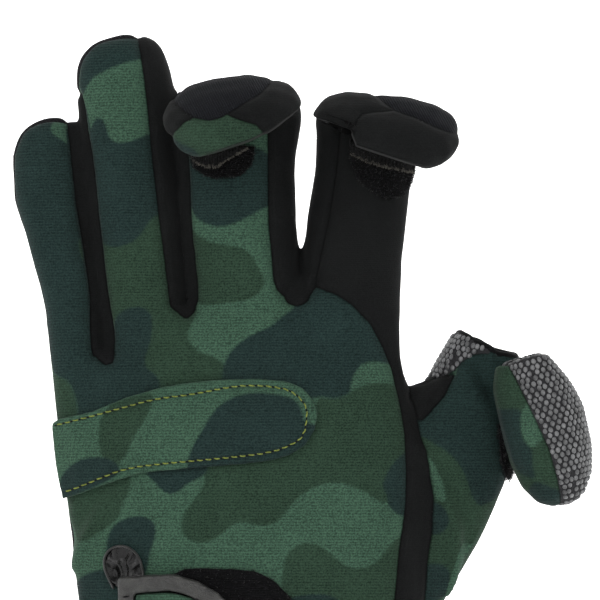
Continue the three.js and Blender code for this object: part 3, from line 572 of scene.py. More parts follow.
def cloth_look(name, base, printed_on=(), rib_pitch=0.5 * MM, rib_angles=(3, 0, 0), rib_depth=0.10,
               grain_depth=0.3, wander=1.2):
    """Knitted jersey on neoprene: fine ribs, fibre grain, slow fading, and the print where it has one."""
    look = Look(name, roughness=0.92, sheen=0.04, sheen_roughness=0.4, specular=0.08)
    colour = linear(base)
    if printed_on:
        fray = look.math("MULTIPLY", look.math("SUBTRACT", look.noise(0.6 * MM), 0.5), PRINT_FRAY)
        for layer, tint in zip(("olive", "dark"), printed_on):
            edge = look.math("ADD", look.attribute(layer), fray)
            colour = look.mix(look.range(edge, -PRINT_EDGE, PRINT_EDGE, 1, 0), colour, linear(tint))
    ribs = look.ribs(rib_pitch, rib_angles, wander)
    grain = look.noise(GRAIN_PITCH, 1.0)
    fade = look.noise(FADE_PITCH)
    light = look.math("ADD", look.range(ribs, 0, 1, 1 - rib_depth, 1 + rib_depth),
                      look.math("ADD", look.range(grain, NOISE_LOW, NOISE_HIGH, -grain_depth, grain_depth),
                                look.range(fade, NOISE_LOW, NOISE_HIGH, -FADE_DEPTH, FADE_DEPTH)))
    # Painted shade: the cloth darkens along seams, partly as a dark seam line, and under tucked edges
    light = look.math("MULTIPLY", light, look.range(look.attribute("seam_and_shade"), SEAM_FROM, SEAM_TO, 1, SEAM_AND_SHADE_TONE))
    tone = look.add("ShaderNodeCombineColor", i0=light, i1=light, i2=light).outputs[0]
    colour = look.mix(1.0, colour, tone, "MULTIPLY")
    height = look.math("ADD", look.math("MULTIPLY", ribs, min(1.0, 4 * rib_depth)), grain)
    return look.finish(colour, height, CLOTH_RELIEF, 0.7)


CAMO_LIGHT = (51, 74, 60)
CAMO_OLIVE = (37, 54, 42)
CAMO_DARK = (28, 42, 40)
BLACK_CLOTH = (18, 19, 19)


def make_looks():
    looks = {
        "camo": cloth_look("camo_jersey", CAMO_LIGHT, (CAMO_OLIVE, CAMO_DARK), rib_pitch=0.76 * MM,
                           rib_depth=0.17, grain_depth=0.42),
        "neoprene": cloth_look("black_jersey", BLACK_CLOTH, rib_depth=0.06, grain_depth=0.32),
        "lining": cloth_look("black_lining", (14, 14, 15), rib_depth=0.05),
        "palm": cloth_look("palm_cloth", (18, 18, 20), rib_pitch=0.8 * MM, rib_angles=(0, -50, 0),
                           rib_depth=0.2),
        "knit": cloth_look("ribbed_knit", (20, 21, 24), rib_pitch=0.6 * MM, rib_angles=(0, -62, 0),
                           rib_depth=0.4, wander=0.4),
        "thread": cloth_look("yellow_thread", (116, 126, 60), rib_pitch=0.25 * MM, rib_depth=0.25,
                             wander=0.2),
        "dark_thread": cloth_look("dark_thread", (20, 20, 21), rib_pitch=0.25 * MM, rib_depth=0.25),
        "fibre": cloth_look("loop_fibre", (17, 17, 18), rib_pitch=0.2 * MM),
        "pale_fibre": cloth_look("pale_loop_fibre", (70, 70, 70), rib_pitch=0.2 * MM),
        "frayed": cloth_look("frayed_fibre", (98, 95, 88), rib_pitch=0.2 * MM),
        "loop": cloth_look("loop_base", (10, 10, 11), rib_pitch=0.6 * MM, rib_depth=0.3, grain_depth=0.9),
        "hook": cloth_look("hook_base", (21, 21, 21), rib_pitch=0.7 * MM, rib_angles=(90, 60, 0),
                           rib_depth=0.35, grain_depth=0.6),
    }
    grip = Look("grip_cloth", roughness=0.75, specular=0.3)
    cells = grip.cells("F1", 0.7 * MM)
    grip_colour = grip.mix(cells, linear((10, 10, 11)), linear((34, 34, 37)))
    looks["grip"] = grip.finish(grip_colour, cells, 0.2 * MM, 0.8)
    bead = Look("grip_bead", roughness=0.42, specular=0.6)
    worn = bead.range(bead.noise(2.2 * MM, 3.0), 0.35, 0.65)
    bead_colour = bead.mix(worn, linear((56, 57, 58)), linear((104, 105, 106)))
    looks["bead"] = bead.finish(bead_colour, bead.noise(0.4 * MM), 0.05 * MM, 0.5)
    for key, name, dark, light, gloss, shine, depth in (
        ("binding", "soft_leatherette", (32, 32, 31), (50, 50, 48), 0.45, 0.45, 0.12),
        ("gloss", "glossy_leatherette", (4, 4, 4), (9, 9, 9), 0.24, 0.3, 0.03),
    ):
        hide = Look(name, roughness=gloss, specular=shine)
        grain = hide.cells("DISTANCE_TO_EDGE", 0.8 * MM)
        crease = hide.noise(2.5 * MM, 3.0)
        hide_colour = hide.mix(hide.range(crease, 0.35, 0.65), linear(dark), linear(light))
        height = hide.math("ADD", hide.range(grain, 0, 0.12), hide.math("MULTIPLY", crease, 2.0))
        looks[key] = hide.finish(hide_colour, height, depth * MM, 0.8)
    return looks


# ---- Panels

def rim_of(tris):
    """The sides that only one triangle has."""
    sides = sides_of(tris)
    _, first, count = np.unique(np.sort(sides, axis=1), axis=0, return_index=True, return_counts=True)
    return sides[first[count == 1]]


def wall_faces(tris, count):
    """The inside of a panel with this many outside points, and the strip round its edge."""
    inside = tris[:, ::-1] + count
    rim = rim_of(tris)
    strip = np.stack([rim[:, 1], rim[:, 0], rim[:, 0] + count, rim[:, 1] + count], axis=1)
    return inside, strip


def panel_piece(name, skin, keep, wall, slot, look, lining, patches):
    """The triangles to keep of a skin as a panel with a wall, its edges sharp and its seams and tucked-under
    edges marked for painted shade.
    """
    verts, normals, tris, _, gap = skin
    used, local = np.unique(tris[keep], return_inverse=True)
    local = local.reshape(-1, 3)
    outside = verts[used]
    facing = normals[used]
    inside, strip = wall_faces(local, len(used))
    points = np.concatenate([outside, outside - facing * wall])
    faces = local.tolist() + inside.tolist() + strip.tolist()
    kinds = [0] * len(local) + [1] * (len(inside) + len(strip))
    piece = add_piece(name, points, faces, slot, [look, lining], kinds)
    rim = {tuple(sorted(side)) for a, b, c, d in strip.tolist() for side in ((a, b), (c, d))}
    for edge in piece.data.edges:
        edge.use_edge_sharp = tuple(sorted(edge.vertices)) in rim
    # Marks seams and tucked-under cloth: 1 there, 0 from a millimetre away. The cloth look darkens it as a dark
    # seam line and painted shade
    seam_and_shade = piece.data.attributes.new("seam_and_shade", "FLOAT", "POINT")
    seam_and_shade.data.foreach_set("value", np.tile(np.maximum(0, 1 - gap[used] / MM), 2))
    if patches:
        add_print(piece, outside, facing, patches)
    return piece


# A tuck fades out past its line's ends over this share of it, and this deep before its depth limit
TUCK_FADE = 0.25
TUCK_DEPTH = 4 * MM
# Cloth pressed in from this far beyond the line is darkened with painted shade
TUCK_SHADE_FROM = 0.3 * MM


def tucked(verts, tucks):
    """Folds in what lies beyond a line of the photograph's plane, with the part to keep on its left.

    Returns the points that end up underneath too, which get painted shade.
    """
    shaded_under = np.zeros(len(verts), dtype=bool)
    for start, end, soft, front in tucks:
        a, b = (np.array(spot(*p)) for p in (start, end))
        along = (b - a) / np.linalg.norm(b - a)
        away = np.array([along[1], -along[0]])
        flat = verts[:, [0, 2]] - a
        beyond = flat @ away
        kept = -soft * np.logaddexp(0, -beyond / soft)
        share = (flat @ along) / np.linalg.norm(b - a)
        fade = (np.clip((share + TUCK_FADE) / TUCK_FADE, 0, 1)
                * np.clip((1 + TUCK_FADE - share) / TUCK_FADE, 0, 1))
        pull = (beyond - kept) * fade * np.clip((front - verts[:, 1]) / TUCK_DEPTH, 0, 1)
        # Painted shade: cloth pressed under a tuck is marked to be darkened
        shaded_under |= (beyond > TUCK_SHADE_FROM) & (fade > 0.5) & (verts[:, 1] < front)
        verts = verts - np.outer(pull, [away[0], 0, away[1]])
    return verts, shaded_under


# Grown by this much, panels that meet at a seam join into one skin
SEAM_GROW = 0.3 * MM
# How wide a seam's groove is, how far from it the cloth fills out, and how far seams are looked for
GROOVE_WIDTH, PUFF_WIDTH, SEAM_REACH = 1.1 * MM, 4 * MM, 7 * MM
# Unevenness of worn cloth: height, size and seed of its lumps
CLOTH_LUMPS = ((0.35 * MM, 16 * MM, 1), (0.12 * MM, 5 * MM, 2))


def dress(names, plugs, voxel, steps, groove, puff, folds=(), tucks=()):
    """Outside skin of some sewn nodes, smoothed, with its seams drawn in, and the points round each mouth.

    A skin holds its points, normals, triangles, each triangle's node and each point's distance from a seam, set
    to zero under the tucks for painted shade.
    """
    parts = [node_bmesh(name, SEAM_GROW) for name in names]
    verts, tris, edges = remeshed(parts + plugs, voxel)
    verts = evened(verts, edges, steps)
    forms = [node_bmesh(name) for name in names] + plugs
    gaps = distances(verts, forms)
    nearest_plug = gaps[:, len(names):].argmin(axis=1)
    gaps = np.concatenate([gaps[:, :len(names)], gaps[:, len(names):].min(axis=1, keepdims=True)], axis=1)
    verts, owner, on_seam = split(verts, tris, gaps)
    normals = normals_of(verts, tris)
    second = np.sort(gaps[:, :len(names)], axis=1)[:, 1]
    sewn = on_seam & (second < gaps[:, -1])
    gap = seam_distance(verts, verts[sewn], SEAM_REACH)
    lift = -groove * np.exp(-((gap / GROOVE_WIDTH) ** 2)) + puff * (1 - np.exp(-((gap / PUFF_WIDTH) ** 2)))
    lift += sum(height * rough(verts, size, seed) for height, size, seed in CLOTH_LUMPS)
    for line, height, width, front in folds:
        near = np.exp(-((along_line(verts, line) / width) ** 2))
        lift += height * near * (verts[:, 1] < front)
    verts, shaded_under = tucked(verts + normals * lift[:, None], tucks)
    # Painted shade under the tucks: these points count as on a seam, so the cloth look darkens them
    gap[shaded_under] = 0
    mouths = [verts[on_seam & ~sewn & (nearest_plug == k)] for k in range(len(plugs))]
    return (verts, normals_of(verts, tris), tris, owner, gap), mouths


def hull_plug(names, inside_box=None):
    """A hull that fills some nodes' mouth: of all their points, or of those in a box in millimetres."""
    points = []
    for name in names:
        bm = node_bmesh(name)
        points += [v.co.copy() for v in bm.verts if inside_box is None or in_box(v.co, *inside_box)]
        bm.free()
    return hull_of(points)


def in_box(place, left, right, low, high):
    return left * MM < place.x < right * MM and low * MM < place.z < high * MM


# The look and print of each panel. The others are of black neoprene
PANEL_LOOKS = {
    "back_panel": ("camo", HAND_PRINT),
    "thumb_back_panel": ("camo", THUMB_PRINT),
    "palm_panel": ("palm", None),
    "thumb_grip_panel": ("grip", None),
    "middle_cap_palm": ("knit", None),
    "middle_cap_back": ("camo", MIDDLE_CAP_PRINT),
    "index_cap_palm": ("knit", None),
    "thumb_cap_back": ("camo", THUMB_CAP_PRINT),
    "thumb_cap_grip": ("grip", None),
}

# Folds pressed into the shell: line in pixels, height, width, and the depth that they stay in front of
SHELL_FOLDS = [
    ([(425, 451), (437, 475), (448, 499), (456, 528), (454, 559), (447, 591)], 1.5 * MM, 1.9 * MM, 0.0),
    ([(434, 462), (446, 486), (462, 512), (468, 540)], -0.9 * MM, 2.6 * MM, 0.0),
    ([(475, 362), (483, 380), (492, 392)], -2.2 * MM, 2.2 * MM, 3 * MM),
    ([(455, 400), (470, 440), (480, 480)], -0.7 * MM, 4.0 * MM, 0.0),
    ([(76, 566), (88, 536), (104, 506)], 1.0 * MM, 1.6 * MM, 0.0),
    ([(68, 540), (84, 512), (96, 494)], -0.8 * MM, 2.4 * MM, 0.0),
    ([(412, 398), (432, 384), (452, 368)], -0.8 * MM, 2.0 * MM, 4 * MM),
]


ROLL_POINTS, ROLL_SIDES, ROLL_SMOOTHING = 96, 10, 6


def rolled_edge(name, points, radius, look):
    """The turned edge of a mouth: a closed roll through the points found round it."""
    centre = points.mean(axis=0)
    away = points - centre
    wide, high, _ = np.linalg.svd(away, full_matrices=False)[2]
    angle = np.arctan2(away @ high, away @ wide)
    order = np.argsort(angle)
    at = np.linspace(-math.pi, math.pi, ROLL_POINTS, endpoint=False)
    line = np.stack([np.interp(at, angle[order], away[order, k], period=math.tau) for k in range(3)], axis=1)
    for _ in range(ROLL_SMOOTHING):
        line = 0.5 * line + 0.25 * np.roll(line, 1, axis=0) + 0.25 * np.roll(line, -1, axis=0)
    line = centre + line * (1 - 0.8 * radius / np.linalg.norm(line, axis=1))[:, None]
    ahead = np.roll(line, -1, axis=0) - np.roll(line, 1, axis=0)
    ahead /= np.linalg.norm(ahead, axis=1)[:, None]
    out = line - centre
    out -= ahead * (out * ahead).sum(axis=1)[:, None]
    out /= np.linalg.norm(out, axis=1)[:, None]
    up = np.cross(ahead, out)
    turns = math.tau * np.arange(ROLL_SIDES) / ROLL_SIDES
    verts = np.concatenate([line + radius * (out * math.cos(turn) + up * math.sin(turn)) for turn in turns])
    add_piece(name, verts, ring_faces(0, ROLL_SIDES, ROLL_POINTS, closed=True), "neoprene", [look])


def make_panels(names, skin, wall, looks):
    for k, name in enumerate(names):
        slot, patches = PANEL_LOOKS.get(name, ("neoprene", None))
        piece = panel_piece("soft_" + name, skin, skin[3] == k, wall, slot, looks[slot], looks["lining"],
                            patches)
        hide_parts(name)


SHELL_WALL, SHELL_ROLL = 2.3 * MM, 0.85 * MM
SHELL_DRESS = {"voxel": 0.8 * MM, "steps": 60, "groove": 0.75 * MM, "puff": 0.25 * MM}
CAP_WALL, CAP_ROLL = 1.8 * MM, 0.6 * MM
CAP_DRESS = {"voxel": 0.5 * MM, "steps": 26, "groove": 0.45 * MM, "puff": 0.5 * MM}
# The shell's openings: the panels round each, and the box that its rim lies in, in millimetres
MOUTHS = {
    "wrist": (["back_panel", "palm_panel", "index_back_panel"], (-math.inf, math.inf, -math.inf, 8.6)),
    "middle": (["back_panel", "palm_panel", "fourchette_ring_middle", "fourchette_middle_index"],
               (-22, 15, 185, math.inf)),
    "index": (["index_back_panel", "palm_panel", "fourchette_middle_index"], (14, 50, 182, math.inf)),
    "thumb": (["thumb_grip_panel", "thumb_back_panel"], (50, math.inf, 126, math.inf)),
}
# Where the folded caps are pressed in under themselves: a line in pixels, how softly it bends, its depth limit
MIDDLE_TUCKS = [
    ((205, 160), (266, 139), 0.7 * MM, 20 * MM),
    ((262, 142), (303, 110), 0.9 * MM, 20 * MM),
]
INDEX_TUCKS = [
    ((352, 148), (417, 170), 0.7 * MM, 20 * MM),
    ((312, 119), (350, 134), 0.7 * MM, 20 * MM),
]
THUMB_TUCKS = [((580, 392), (542, 351), 1.2 * MM, 30 * MM)]


def make_shell(looks):
    plugs = [hull_plug(*mouth) for mouth in MOUTHS.values()]
    skin, mouths = dress(SHELL, plugs, folds=SHELL_FOLDS, **SHELL_DRESS)
    make_panels(SHELL, skin, SHELL_WALL, looks)
    for name, points in zip(MOUTHS, mouths):
        if name != "wrist":
            rolled_edge(name + "_mouth_edge", points, SHELL_ROLL, looks["neoprene"])
    return skin


def make_cap(names, looks, tucks):
    skin, mouths = dress(names, [hull_plug(names)], tucks=tucks, **CAP_DRESS)
    make_panels(names, skin, CAP_WALL, looks)
    rolled_edge(names[0] + "_edge", mouths[0], CAP_ROLL, looks["neoprene"])
    return skin


# ---- Pad, closure and patches

# Edge of the knuckle pad and its stitch line, in pixels
PAD_EDGE = [(20, 422), (79, 415), (112, 405), (147, 395), (189, 388), (220, 383), (254, 380), (284, 381),
    (301, 384), (311, 394), (317, 408), (317, 421), (312, 435), (304, 444), (290, 453), (256, 459),
    (220, 464), (161, 468), (126, 477), (98, 485), (30, 512)]
PAD_STITCHES = [(57, 425), (70, 421), (90, 416), (126, 406), (159, 397), (196, 393), (228, 386), (252, 384),
    (279, 386), (295, 392), (306, 404), (307, 416), (304, 432), (297, 440), (274, 450), (242, 454),
    (200, 458), (147, 463), (123, 468), (105, 475), (84, 484), (66, 491)]
# The stitch line of the strap's binding, and the pull loop's edge
BINDING_STITCHES = [(124, 593), (140, 590), (160, 588), (182, 589), (200, 594), (211, 601), (220, 612),
    (225, 626)]
LOOP_EDGE = [(116, 586), (110, 575), (106, 565), (106, 555), (111, 547), (120, 543), (130, 544), (138, 550),
    (143, 559), (145, 570), (146, 586)]


LUMP_SIZE = 6 * MM


def node_piece(name, voxel, steps, slot, look, lumps, patches=None, shape=None, warp=None):
    """A node's own soft skin. warp moves its points, and shape lifts them along their normals."""
    verts, tris, edges = remeshed([node_bmesh(name)], voxel)
    verts = spread(verts, edges, steps)
    normals = normals_of(verts, tris)
    if warp is not None:
        verts = warp(verts)
    lift = lumps * rough(verts, LUMP_SIZE, 3)
    if shape is not None:
        lift = lift + shape(verts, normals)
    verts = verts + normals * lift[:, None]
    normals = normals_of(verts, tris)
    piece = add_piece("soft_" + name, verts, tris.tolist(), slot, [look])
    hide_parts(name)
    if patches:
        add_print(piece, verts, normals, patches)
    return piece, (verts, normals, tris)


def ramp(values, start, end):
    """0 before start, 1 past end, and even between."""
    return np.clip((values - start) / (end - start), 0, 1)


# Highest moves of the strap, of its patch's left corner and right end, and of the index finger's hook patch
STRAP_RISE, PATCH_FALL, PATCH_RISE, HOOK_RISE = 2.1 * MM, 3.0 * MM, 1.3 * MM, 0.9 * MM
# The hem is drawn this much taller, to close against the shell
HEM_STRETCH = 1.2


def strap_rise(verts):
    """Lifts the strap's upper edge where it bows towards the knuckles."""
    px, py = pixels(verts[:, 0], verts[:, 2])
    rise = ramp(px, 135, 185) * ramp(-py, -650, -600)
    return verts + np.outer(rise * rise * (3 - 2 * rise) * STRAP_RISE, (0, 0, 1))


def patch_fall(verts):
    """Tucks the patch's left corner under the binding and rounds its right end upwards."""
    px, py = pixels(verts[:, 0], verts[:, 2])
    fall = ramp(px, 225, 265) * PATCH_RISE - ramp(-px, -186, -160) * PATCH_FALL
    return verts + np.outer(fall * ramp(-py, -640, -600), (0, 0, 1))


def hem_reach(verts):
    return verts * (1, 1, HEM_STRETCH)


def hook_rise(verts):
    return verts + (0, 0, HOOK_RISE)


# The pull loop's edge band: height over the cloth, half its thickness, its width as a multiple, and its sides
BAND_LIFT, BAND_RADIUS, BAND_TALL, BAND_SIDES = 1.0 * MM, 0.36 * MM, 3.0, 10
# The lining inside it: pixels that it lies in, their step, the length of its folds, and its thickness
LINING_X, LINING_Y, LINING_STEP = (98, 152), (536, 590), 0.8
FOLD_X, FOLD_Y = 13, 20
LINING_WALL = 0.5 * MM


def crumple(px, py):
    """Height of the crumpled lining over the cloth."""
    here = Vector((px / FOLD_X, py / FOLD_Y, 2.0))
    folds = 1 - 2.4 * abs(noise.noise(here)) + 0.35 * noise.noise(here * 2.6)
    return max(0.2, 0.6 + 1.2 * folds) * MM


def pull_loop(skin, gloss, hide):
    """A teardrop of folded band: a raised edge round a crumpled glossy lining."""
    find = front_of(skin)
    verts = []
    faces = []
    toward = Vector((0, -1, 0))
    points = [find(*place)[0] + toward * BAND_LIFT for place in even_points(LOOP_EDGE, 1.2)[0]]
    tube(points, BAND_RADIUS, BAND_SIDES, verts, faces, toward, BAND_TALL)
    band_count, first = len(faces), len(verts)
    across, down = np.meshgrid(np.arange(*LINING_X, LINING_STEP), np.arange(*LINING_Y, LINING_STEP))
    flat = np.stack([across.ravel(), down.ravel()], axis=1)
    index = np.full(len(flat), -1)
    for k in np.flatnonzero(outline_distance(flat, LOOP_EDGE) < -0.5):
        index[k] = len(verts) - first
        verts.append(find(*flat[k])[0] + toward * crumple(*flat[k]))
    grid = index.reshape(across.shape)
    quads = np.stack([grid[:-1, :-1], grid[1:, :-1], grid[1:, 1:], grid[:-1, 1:]], axis=-1).reshape(-1, 4)
    quads = quads[quads.min(axis=1) >= 0]
    sheet = np.concatenate([quads[:, [0, 1, 2]], quads[:, [0, 2, 3]]], axis=1).reshape(-1, 3)
    inside, strip = wall_faces(sheet, len(verts) - first)
    verts += [v - toward * LINING_WALL for v in verts[first:]]
    for part in (sheet, inside, strip):
        faces += (part + first).tolist()
    kinds = [0] * band_count + [1] * (len(faces) - band_count)
    piece = add_piece("soft_pull_loop", verts, faces, "gloss_band", [hide, gloss], kinds)
    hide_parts("pull_loop")


# The knuckle pad's crown and the groove of its stitches: height, and place and width in pixels from its edge
CROWN, CROWN_WIDTH = 0.45 * MM, 14
STITCH_GROOVE, STITCH_INSET, STITCH_WIDTH = 0.5 * MM, 6, 2.2


def pad_shape(verts, normals):
    """Crowned inside its stitch line, which pulls it in."""
    flat = np.stack(pixels(verts[:, 0], verts[:, 2]), axis=1)
    inside = -outline_distance(flat, PAD_EDGE)
    crown = CROWN * (1 - np.exp(-((np.maximum(inside, 0) / CROWN_WIDTH) ** 2)))
    line = STITCH_GROOVE * np.exp(-(((inside - STITCH_INSET) / STITCH_WIDTH) ** 2))
    return (crown - line) * np.clip(-normals[:, 1] * 2, 0, 1)


def tube(points, radius, sides, verts, faces, up, tall=1.0):
    """A short closed thread or band through some points, added to verts and faces."""
    base = len(verts)
    for k, p in enumerate(points):
        ahead = points[min(k + 1, len(points) - 1)] - points[max(k - 1, 0)]
        side = ahead.cross(up).normalized()
        top = side.cross(ahead).normalized()
        width = radius * (0.7 if k in (0, len(points) - 1) else 1.0)
        for s in range(sides):
            turn = math.tau * s / sides
            verts.append(p + (side * math.cos(turn) + top * math.sin(turn) * tall) * width)
    faces += ring_faces(base, len(points), sides)
    faces.append(tuple(base + s for s in reversed(range(sides))))
    faces.append(tuple(base + (len(points) - 1) * sides + s for s in range(sides)))


def even_points(line, pitch, offset=0.5):
    """Points at an even pitch along a smoothed line of pixels, and the direction at each."""
    points = np.array(line, dtype=float)
    for _ in range(2):
        start, end = points[:-1], points[1:]
        middle = np.stack([0.75 * start + 0.25 * end, 0.25 * start + 0.75 * end], axis=1)
        points = np.concatenate([points[:1], middle.reshape(-1, 2), points[-1:]])
    steps = np.linalg.norm(np.diff(points, axis=0), axis=1)
    reach = np.concatenate([[0], np.cumsum(steps)])
    count = int(reach[-1] // pitch)
    at = (np.arange(count) + offset) * reach[-1] / count
    out = np.stack([np.interp(at, reach, points[:, k]) for k in (0, 1)], axis=1)
    ahead = np.stack([np.interp(at + 0.5, reach, points[:, k]) for k in (0, 1)], axis=1)
    return out, ahead - out


def front_of(skin):
    """A function that gives a skin's point and normal behind a pixel, or None and None."""
    verts, _, tris = skin
    tree = BVHTree.FromPolygons([Vector(v) for v in verts], tris.tolist())

    def find(px, py):
        x, z = spot(px, py)
        return tree.ray_cast(Vector((x, -0.1, z)), Vector((0, 1, 0)))[:2]
    return find


# A stitch's points along its length, and its height over the cloth there in radii
STITCH_SHARES = (-0.5, -0.3, 0, 0.3, 0.5)
STITCH_TOP, STITCH_DIVE, STITCH_SIDES = 0.9, 5.2, 6


def sew(name, skin, line, pitch, length, radius, slot, look, slant=0.0, offset=0.5):
    """Separate stitches along a line of pixels: each thread rises out of the cloth and goes back in."""
    find = front_of(skin)
    verts = []
    faces = []
    for place, heading in zip(*even_points(line, pitch, offset)):
        heading = heading / np.linalg.norm(heading)
        turned = np.array([heading[0] - slant * heading[1], heading[1] + slant * heading[0]])
        hits = [find(*(place + turned * share * length)) for share in STITCH_SHARES]
        if all(hit[0] is not None for hit in hits):
            points = [at + normal * radius * (STITCH_TOP - STITCH_DIVE * share ** 2)
                      for (at, normal), share in zip(hits, STITCH_SHARES)]
            tube(points, radius, STITCH_SIDES, verts, faces, hits[-1][1])
    add_piece(name, verts, faces, slot, [look])


def surface_points(verts, normals, tris, count, keep, rng):
    """Random points on a skin with their normals, where keep allows."""
    a, b, c = (verts[tris[:, k]] for k in range(3))
    area = np.linalg.norm(np.cross(b - a, c - a), axis=1)
    area = area * keep(verts[tris].mean(axis=1), normals[tris].mean(axis=1))
    picks = rng.choice(len(tris), size=count, p=area / area.sum())
    u, v = rng.random((2, count))
    over = u + v > 1
    u[over], v[over] = 1 - u[over], 1 - v[over]
    places = a[picks] + (b - a)[picks] * u[:, None] + (c - a)[picks] * v[:, None]
    return places, normals[tris[picks]].mean(axis=1)


def everywhere(places, normals):
    return np.ones(len(places))


def lower_edge(places, normals):
    return np.where(normals[:, 2] < -0.35, 1.0, 0.0)


FIBRE_POINTS, FIBRE_SIDES = 4, 3
# A fibre's curl goes into the cloth before its end, and fibres lean by up to about this much
FIBRE_CURL, FIBRE_LEAN = 1.15, 0.35


def fuzz(name, skin, count, size, radius, slot, look, keep, seed):
    """Small curled fibres standing on a patch."""
    rng = np.random.default_rng(seed)
    verts = []
    faces = []
    places, ups = surface_points(*skin, count, keep, rng)
    turns = rng.random(count) * math.tau
    lengths = (0.6 + 0.8 * rng.random(count)) * size
    leans = rng.normal(0, FIBRE_LEAN, count)
    for place, up, turn, length, lean in zip(places, ups, turns, lengths, leans):
        up = Vector(up).normalized()
        side = Matrix.Rotation(turn, 3, up) @ up.orthogonal().normalized()
        cross = up.cross(side)
        points = []
        for k in range(FIBRE_POINTS):
            share = k / (FIBRE_POINTS - 1)
            out = math.sin(math.pi * min(share * FIBRE_CURL, 1.0)) * length
            points.append(Vector(place) + side * (share - 0.5) * length + up * (out - radius)
                          + cross * lean * out)
        tube(points, radius, FIBRE_SIDES, verts, faces, cross)
    add_piece(name, verts, faces, slot, [look])


BEAD_PITCH = 1.65 * MM
BEAD_SIDES = 8
# A bead's rings and top in shares of the pitch, and its width across the rows as a share of that along them
BEAD_RINGS = ((0.496, -0.096), (0.464, 0.08), (0.304, 0.192))
BEAD_TOP, BEAD_WIDTH = 0.224, 0.8
# In shares of the pitch: rows' distance, and least distances from a seam, of a row's point and between beads
BEAD_ROWS, BEAD_INSET, BEAD_MISS, BEAD_APART = 0.87, 0.35, 0.45, 0.7


def beads(name, skin, axis_from, axis_to, look):
    """Rows of small raised grip dots over a skin, unrolled round an axis."""
    verts, normals, tris = skin
    pitch = BEAD_PITCH
    clear = seam_distance(verts, verts[np.unique(rim_of(tris))], 2 * MM) > BEAD_INSET * pitch
    used = np.unique(tris)
    used = used[clear[used]]
    verts, normals = verts[used], normals[used]
    start = np.array(axis_from)
    along = np.array(axis_to) - start
    along = along / np.linalg.norm(along)
    side = np.cross(along, (0.0, 1.0, 0.0))
    side = side / np.linalg.norm(side)
    deep = np.cross(along, side)
    away = verts - start
    length = away @ along
    angle = np.arctan2(away @ deep, away @ side)
    radius = float(np.median(np.hypot(away @ deep, away @ side)))
    tree = KDTree(len(verts))
    for k in range(len(verts)):
        tree.insert((angle[k] * radius, length[k], 0), k)
    tree.balance()
    points = []
    faces = []
    placed = np.empty((0, 3))
    rows = int((length.max() - length.min()) / (pitch * BEAD_ROWS)) + 1
    columns = int(math.tau * radius / pitch)
    for row, column in itertools.product(range(rows), range(columns)):
        u = -math.pi * radius + (column + 0.5 * (row % 2)) * pitch
        w = length.min() + row * pitch * BEAD_ROWS
        _, k, far = tree.find((u, w, 0))
        if far > BEAD_MISS * pitch:
            continue
        up = Vector(normals[k])
        right = up.cross(Vector(along)).normalized()
        ahead = right.cross(up)
        place = Vector(verts[k]) + ahead * (w - length[k])
        if len(placed) and np.linalg.norm(placed - place, axis=1).min() < BEAD_APART * pitch:
            continue
        placed = np.vstack([placed, place])
        base = len(points)
        for reach, height in BEAD_RINGS:
            for s in range(BEAD_SIDES):
                turn = math.tau * s / BEAD_SIDES
                out = right * math.cos(turn) * BEAD_WIDTH + ahead * math.sin(turn)
                points.append(place + (out * reach + up * height) * pitch)
        points.append(place + up * BEAD_TOP * pitch)
        faces += ring_faces(base, len(BEAD_RINGS), BEAD_SIDES)
        last = base + (len(BEAD_RINGS) - 1) * BEAD_SIDES
        faces += [(last + s, last + (s + 1) % BEAD_SIDES, last + BEAD_SIDES) for s in range(BEAD_SIDES)]
        faces.append(tuple(base + s for s in reversed(range(BEAD_SIDES))))
    add_piece(name, points, faces, "grip", [look])


def owned(skin, names, name):
    """The part of a skin that belongs to one of its nodes."""
    verts, normals, tris, owner, _ = skin
    return verts, normals, tris[owner == names.index(name)]


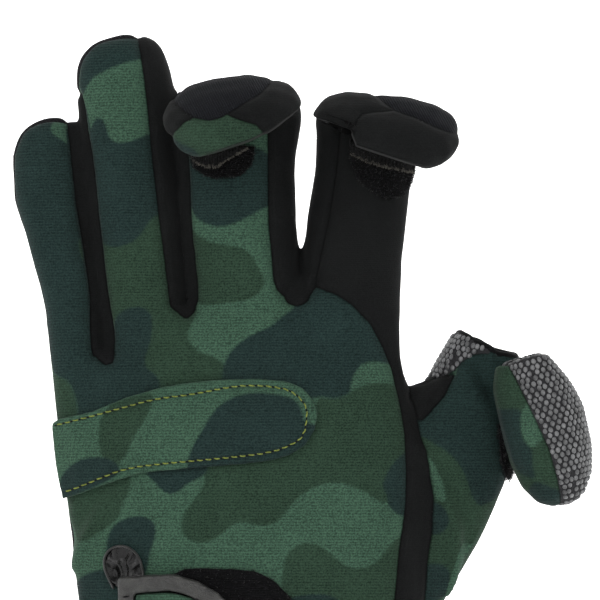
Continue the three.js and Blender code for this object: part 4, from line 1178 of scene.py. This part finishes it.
def dress_pad_and_wrist(back):
    """The knuckle pad, the wrist closure, the pull loop and the hem, over the back of the shell."""
    camo, dark_thread = looks["camo"], looks["dark_thread"]
    pad, pad_skin = node_piece("knuckle_pad", 0.55 * MM, 5, "camo_pad", camo, 0.1 * MM, PAD_PRINT, pad_shape)
    sew("pad_stitches", pad_skin, PAD_STITCHES, 8.4, 5.6, 0.21 * MM, "camo_pad", looks["thread"], 0.14)
    sew("pad_stitch_holes", pad_skin, PAD_STITCHES, 8.4, 2.4, 0.19 * MM, "camo_pad", dark_thread, 0.14, 0.0)
    node_piece("wrist_strap", 0.5 * MM, 4, "camo", camo, 0.1 * MM, HAND_PRINT, warp=strap_rise)
    _, binding = node_piece("strap_binding", 0.45 * MM, 6, "binding", looks["binding"], 0.2 * MM,
                            warp=strap_rise)
    sew("binding_stitches", binding, BINDING_STITCHES, 8.5, 6.5, 0.2 * MM, "binding", dark_thread)
    pull_loop(back, looks["gloss"], looks["binding"])
    node_piece("cuff_hem", 0.9 * MM, 3, "neoprene", looks["neoprene"], 0.15 * MM, warp=hem_reach)


# The fastening patches: smoothing, number and length of fibres, and what moves them
LOOP_PATCHES = (
    ("middle_loop_patch", 3, 1100, 0.55 * MM, None),
    ("index_loop_patch", 3, 1400, 0.55 * MM, None),
    ("thumb_loop_patch", 2, 1250, 0.8 * MM, None),
    ("wrist_loop_patch", 3, 2000, 0.5 * MM, patch_fall),
)
HOOK_PATCHES = (
    ("middle_hook_patch", 2, 500, 0.4 * MM, None),
    ("index_hook_patch", 2, 500, 0.4 * MM, hook_rise),
)


def dress_patch(look, slot, name, steps, count, size, warp):
    """A patch and its fibres, a few of them pale."""
    _, skin = node_piece(name, 0.45 * MM, steps, slot, looks[look], 0.1 * MM, warp=warp)
    seed = len(name) + count
    fuzz(name + "_fibres", skin, count, size, 0.05 * MM, slot, looks["fibre"], everywhere, seed)
    fuzz(name + "_pale_fibres", skin, count // 4, size * 0.9, 0.045 * MM, slot, looks["pale_fibre"], everywhere,
         seed + 1)
    if look == "hook":
        fuzz(name + "_frayed_edge", skin, 180, 0.6 * MM, 0.055 * MM, slot, looks["frayed"], lower_edge, count)


looks = make_looks()
make_stage()
shell_skin = make_shell(looks)
for cap_names, tucks in ((MIDDLE_CAP, MIDDLE_TUCKS), (INDEX_CAP, INDEX_TUCKS), (THUMB_CAP, THUMB_TUCKS)):
    cap_skin = make_cap(cap_names, looks, tucks)
dress_pad_and_wrist(owned(shell_skin, SHELL, "back_panel"))
for patch in LOOP_PATCHES:
    dress_patch("loop", "loop_pile", *patch)
for patch in HOOK_PATCHES:
    dress_patch("hook", "hook_tape", *patch)
beads("thumb_grip_beads", owned(shell_skin, SHELL, "thumb_grip_panel"), (0.046, 0.006, 0.06),
      (0.064, 0.008, 0.13), looks["bead"])
beads("thumb_cap_beads", owned(cap_skin, THUMB_CAP, "thumb_cap_grip"), (0.0729, -0.0086, 0.128),
      (0.0846, -0.0086, 0.0895), looks["bead"])
